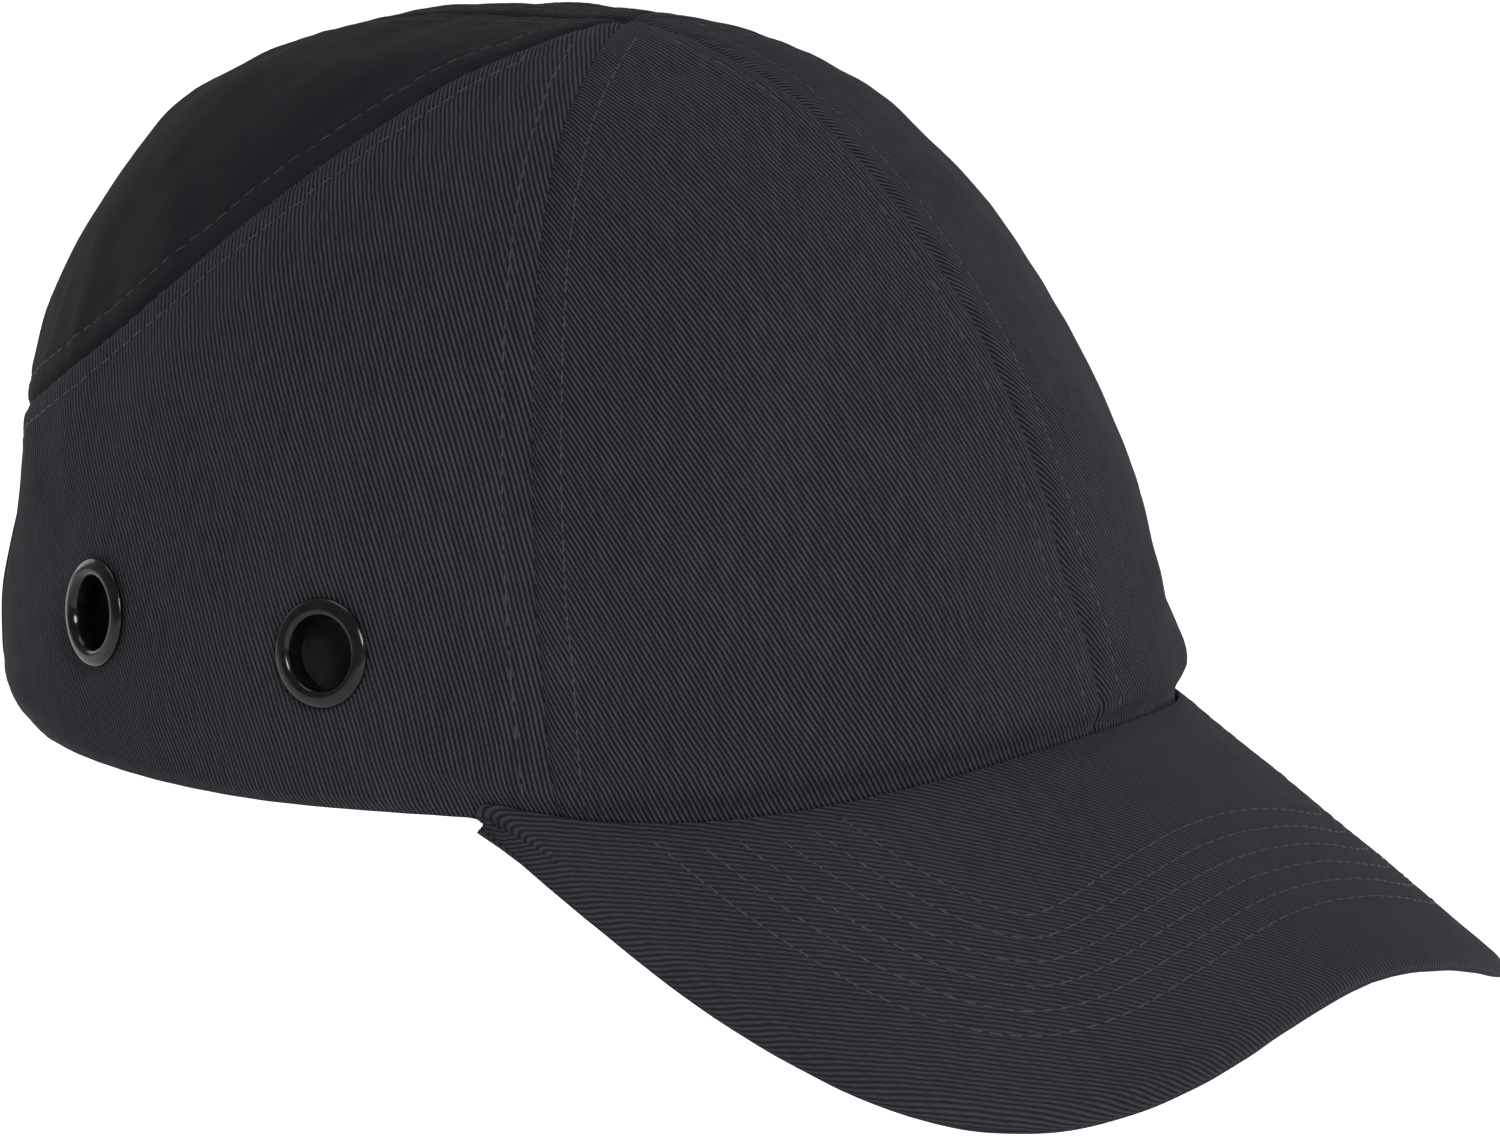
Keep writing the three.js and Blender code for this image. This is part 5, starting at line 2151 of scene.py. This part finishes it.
@dataclass
class Insert:
    """The protective shell and its five foam pads."""

    shape: CrownShape
    palette: Palette
    inset: float = 8.5
    top_inset: float = 3.0
    wall: float = 2.2
    lower_edge: float = 35.0
    notch_half: float = 49.0
    slot_half_width: float = 4.0
    slot_half_length: float = 15.0
    slot_columns: tuple[float, ...] = (-28.0, 0.0, 28.0)
    slot_rows: tuple[float, ...] = (-23.0, 23.0)
    pad_inset: float = 11.0
    pad_top_inset: float = 5.5
    pad_thickness: float = 4.0
    crown_pad_edge: float = 88.0

    def dome(self, obj_columns: int, rows: int, floor: float, inset: float, top: float) -> np.ndarray:
        """Rows of points round the crown, from a height to the top.

        Args:
            obj_columns: Steps round the cap.
            rows: Steps up.
            floor: Height of the lowest row.
            inset: How far inside the cover's face.
            top: The same at the top.

        Returns:
            Points in millimetres; the first and last columns meet behind.
        """
        turn = np.linspace(-math.pi, math.pi, obj_columns + 1)
        rims = [float(self.shape.rim(np.array(t))) for t in turn]
        rises = [(floor - rim) / (self.shape.height - top - rim) for rim in rims]
        start = np.array([self.shape.share_at(t, rise) for t, rise in zip(turn, rises)])
        v = np.linspace(0, 1, rows + 1)[:, None]
        angle = np.broadcast_to(turn, (rows + 1, obj_columns + 1))
        return self.shape.point(angle, self.shape.climb_at(angle, start + (1 - start) * v), inset, top)

    def slot_cutter(self, width: float, length: float) -> bpy.types.Object:
        """Upright bars with round ends, one at every vent.

        Args:
            width: Half the width.
            length: The length between the ends.

        Returns:
            The bars, as one object.
        """
        cutters = []
        for x in self.slot_columns:
            for y in self.slot_rows:
                bpy.ops.object.select_all(action="DESELECT")
                bpy.ops.mesh.primitive_cylinder_add(
                    vertices=32, radius=width * MM, depth=0.12, location=(0, 0, 0)
                )
                bar = bpy.context.active_object
                for vertex in bar.data.vertices:
                    vertex.co.y += math.copysign((length - width) * MM, vertex.co.y)
                bar.data.transform(Matrix.Translation((x * MM, y * MM, 0.12)))
                cutters.append(bar)
        return self.joined(cutters, "vent_cutter")

    def joined(self, objects: Sequence[bpy.types.Object], name: str) -> bpy.types.Object:
        """Joins objects into the first.

        Args:
            objects: The objects.
            name: The result's name.

        Returns:
            The first object.
        """
        bpy.ops.object.select_all(action="DESELECT")
        for obj in objects:
            obj.select_set(True)
        bpy.context.view_layer.objects.active = objects[0]
        bpy.ops.object.join()
        objects[0].name = objects[0].data.name = name
        return objects[0]

    def cut(self, obj: bpy.types.Object, cutter: bpy.types.Object) -> None:
        """Takes a cutter's space out of a piece, and deletes the cutter."""
        apply_modifier(obj, "BOOLEAN", object=cutter, operation="DIFFERENCE", solver="EXACT")
        bpy.data.objects.remove(cutter)

    def shell(self) -> None:
        """The vented shell, with moulded ribs and beads round its vents."""
        obj = new_grid("inner_shell_moulded", 300, 110)
        order, u, _ = grid_order(obj)
        points = self.dome(u.shape[1] - 1, u.shape[0] - 1, self.lower_edge, self.inset, self.top_inset)
        points[:, -1] = points[:, 0]
        relief = 0.08 * soft_noise(points, 90.0, 401)
        down = ease(self.shape.height - points[..., 2], 8, 26)
        for x in (-14.0, 14.0, -42.0, 42.0):
            ridge = np.exp(-(((points[..., 0] - x) / 2.6) ** 4))
            relief += 1.3 * ridge * down * ease(points[..., 2], 44, 52)
        relief += 0.9 * np.exp(-(((points[..., 2] - 39.5) / 2.0) ** 4))
        for x in self.slot_columns:
            for y in self.slot_rows:
                reach = self.slot_half_length - self.slot_half_width
                past = np.maximum(np.abs(points[..., 1] - y) - reach, 0)
                gap = np.hypot(points[..., 0] - x, past) - self.slot_half_width
                relief += 0.35 * np.exp(-(((gap - 1.6) / 1.1) ** 2))
        outward = unit(points - np.array([0, 0, 20.0]))
        set_points(obj, order, points + outward * relief[..., None])
        tidy_mesh(obj, 2e-5)
        turn_outward(obj, (0, 0, 20))
        apply_modifier(obj, "SOLIDIFY", thickness=self.wall * MM, offset=-1)
        bpy.ops.object.select_all(action="DESELECT")
        bpy.ops.mesh.primitive_cylinder_add(
            vertices=96, radius=self.notch_half * MM, depth=0.1, location=(0, 0, 0)
        )
        arch = bpy.context.active_object
        at_back = Matrix.Translation((0, 0.09, self.shape.opening_spring * MM))
        arch.data.transform(at_back @ Matrix.Rotation(math.pi / 2, 4, "X"))
        self.cut(obj, arch)
        self.cut(obj, self.slot_cutter(self.slot_half_width, self.slot_half_length))
        bevel(obj, 0.5, 60)
        smooth(obj, 45)
        settle(obj, self.palette.of(SHELL_PLASTIC), "insert", ["inner_shell"])

    def pillow(self, name: str, outer: Callable, columns: int, rows: int) -> bpy.types.Object:
        """A closed pad between a fixed back and a crowned front.

        Args:
            name: The piece's name.
            outer: Gives points from u, v and a depth.
            columns: Steps across.
            rows: Steps up.

        Returns:
            The pad.
        """
        halves = []
        for front in (False, True):
            obj = new_grid(f"{name}_{front}", columns, rows)
            order, u, v = grid_order(obj)
            a, b = 2 * u - 1, 2 * v - 1
            p = (1 + a * np.sqrt(np.maximum(1 - 0.42 * b**6, 0.0)) * 0.985) / 2
            q = (1 + b * np.sqrt(np.maximum(1 - 0.42 * a**6, 0.0)) * 0.985) / 2
            away = (1 - np.abs(a) ** 14) * (1 - np.abs(b) ** 14)
            edge = np.sqrt(np.clip(away, 0, 1))
            crown = (0.35 + 0.50 * edge + 0.15 * (1 - a**2) * (1 - b**2)) if front else 0.35 - 0.35 * edge
            crown = np.where((np.abs(a) > 0.9999) | (np.abs(b) > 0.9999), 0.35, crown)
            points = outer(p, q, self.pad_thickness * crown)
            swell = 0.12 * soft_noise(points, 14.0, 500) * edge
            points = points + unit(points - np.array([0, 0, 20.0])) * swell[..., None]
            set_points(obj, order, points)
            halves.append(obj)
        pad = self.joined(halves, name)
        tidy_mesh(pad, 3e-5, outward=True)
        smooth(pad, 75)
        return pad

    def wall_pad(self, name: str, middle: float, half: float, low: float, high: float) -> bpy.types.Object:
        """A pad on the shell's wall between two heights."""

        def outer(p: np.ndarray, q: np.ndarray, depth: np.ndarray) -> np.ndarray:
            """Points of the pad at a depth from its back."""
            angle = middle + (2 * p - 1) * half
            rim = self.shape.rim(angle)
            near = self.shape.at_height(angle, low + (high - low) * q - rim, self.pad_inset)
            inset = self.pad_inset + self.pad_thickness
            far = self.shape.at_height(angle, low + (high - low) * q - rim, inset)
            return near + (far - near) * (depth / self.pad_thickness)[..., None]

        return self.pillow(name, outer, 96, 48)

    def crown_pad(self) -> bpy.types.Object:
        """The vented pad under the top.

        Returns:
            The pad.
        """
        halves = []
        for front in (False, True):
            obj = new_grid(f"crown_pad_{front}", 180, 44)
            order, _, v = grid_order(obj)
            near = self.dome(180, 44, self.crown_pad_edge, self.pad_inset, self.pad_top_inset)
            inset = self.pad_inset + self.pad_thickness
            far = self.dome(180, 44, self.crown_pad_edge, inset, self.pad_top_inset + self.pad_thickness)
            edge = np.sqrt(np.clip(1 - (1 - v) ** 14, 0, 1))
            share = (0.35 + 0.6 * edge) if front else 0.35 - 0.35 * edge
            points = near + (far - near) * share[..., None]
            points[:, -1] = points[:, 0]
            set_points(obj, order, points)
            halves.append(obj)
        pad = self.joined(halves, "crown_pad_soft")
        tidy_mesh(pad, 3e-5, outward=True)
        self.cut(pad, self.slot_cutter(self.slot_half_width + 1, self.slot_half_length + 1))
        bevel(pad, 0.6, 60)
        smooth(pad, 60)
        return pad

    def build(self) -> None:
        """Makes the shell and its pads."""
        self.shell()
        pads = {
            "crown_pad": self.crown_pad(),
            "front_pad": self.wall_pad("front_pad_soft", 0.0, math.radians(31), 39, 76),
            "right_pad": self.wall_pad("right_pad_soft", math.radians(89), math.radians(25), 39, 76),
            "left_pad": self.wall_pad("left_pad_soft", math.radians(-89), math.radians(25), 39, 76),
            "rear_pad": self.wall_pad("rear_pad_soft", math.pi, math.radians(24), 63, 84),
        }
        for node, pad in pads.items():
            settle(pad, self.palette.of(PAD_FOAM), "insert", [node])


# ---- Studio ----


@dataclass
class Studio:
    """The pale floor, the lights and the camera."""

    palette: Palette
    floor_height: float = -0.168
    floor_reach: float = 9.0
    target: tuple[float, float, float] = (0.0, -0.037393, 0.028009)
    swing: float = math.radians(52.328)
    rise: float = math.radians(11.974)
    roll: float = math.radians(-1.777)
    distance: float = 2.19987
    lens: float = 294.9

    def floor(self) -> None:
        """A wide flat floor."""
        bpy.ops.object.select_all(action="DESELECT")
        bpy.ops.mesh.primitive_circle_add(
            vertices=96, radius=self.floor_reach, fill_type="NGON", location=(0, 0, 0)
        )
        floor = bpy.context.active_object
        floor.name = "floor"
        floor.data.transform(Matrix.Translation((0, 0, self.floor_height)))
        floor.data.materials.append(self.palette.of(Paper()))

    def lamp(self, name: str, place: Sequence[float], size: float, power: float) -> None:
        """An area light that faces the cap.

        Args:
            name: The lamp's name.
            place: Its place in metres.
            size: Its diameter.
            power: Its power in watts.
        """
        data = bpy.data.lights.new(name, "AREA")
        data.shape = "DISK"
        data.size = size
        data.energy = power
        light = bpy.data.objects.new(name, data)
        bpy.context.scene.collection.objects.link(light)
        light.location = place
        light.rotation_euler = (Vector(self.target) - Vector(place)).to_track_quat("-Z", "Y").to_euler()

    def lights(self) -> None:
        """A broad key over the camera, two fills, a top light and a pale surround."""
        self.lamp("key", (-1.3, -1.75, 1.2), 0.9, 54.0)
        self.lamp("fill", (0.4, -2.2, 1.0), 1.4, 6.0)
        self.lamp("top", (0.2, 0.3, 2.4), 1.6, 16.0)
        self.lamp("rear_fill", (0.5, 2.4, 0.7), 1.4, 8.0)
        world = bpy.data.worlds.new("white_surround")
        world.use_nodes = True
        background = next(node for node in world.node_tree.nodes if node.type == "BACKGROUND")
        background.inputs["Color"].default_value = (1, 1, 1, 1)
        background.inputs["Strength"].default_value = 0.36
        bpy.context.scene.world = world
        bpy.context.scene.view_settings.view_transform = "Standard"

    def camera(self) -> None:
        """The camera, to the wearer's front right."""
        flat = math.cos(self.rise)
        back = Vector((-math.sin(self.swing) * flat, -math.cos(self.swing) * flat, math.sin(self.rise)))
        level = Vector((math.cos(self.swing), -math.sin(self.swing), 0))
        upright = level.cross(-back)
        across = level * math.cos(self.roll) + upright * math.sin(self.roll)
        upward = upright * math.cos(self.roll) - level * math.sin(self.roll)
        place = Vector(self.target) + back * self.distance
        data = bpy.data.cameras.new("camera")
        data.lens = self.lens
        data.sensor_width = 36
        data.clip_start, data.clip_end = 0.05, 40
        camera = bpy.data.objects.new("camera", data)
        bpy.context.scene.collection.objects.link(camera)
        turned = Matrix((across, upward, back)).transposed().to_4x4()
        camera.matrix_world = Matrix.Translation(place) @ turned
        bpy.context.scene.camera = camera

    def build(self) -> None:
        """Sets the scene up."""
        self.floor()
        self.lights()
        self.camera()


def main() -> None:
    """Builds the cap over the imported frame, piece by piece."""
    logging.basicConfig(level=logging.INFO, format="%(name)s: %(message)s", stream=sys.stdout)
    palette = Palette()
    shape = CrownShape()
    CrownCover(shape, palette).build()
    Visor(VisorShape(shape), palette).build()
    HeadBand(shape, palette).build()
    RearStrap(palette).build()
    Eyelets(shape, palette).build()
    Insert(shape, palette).build()
    Studio(palette).build()


if __name__ == "__main__":
    main()
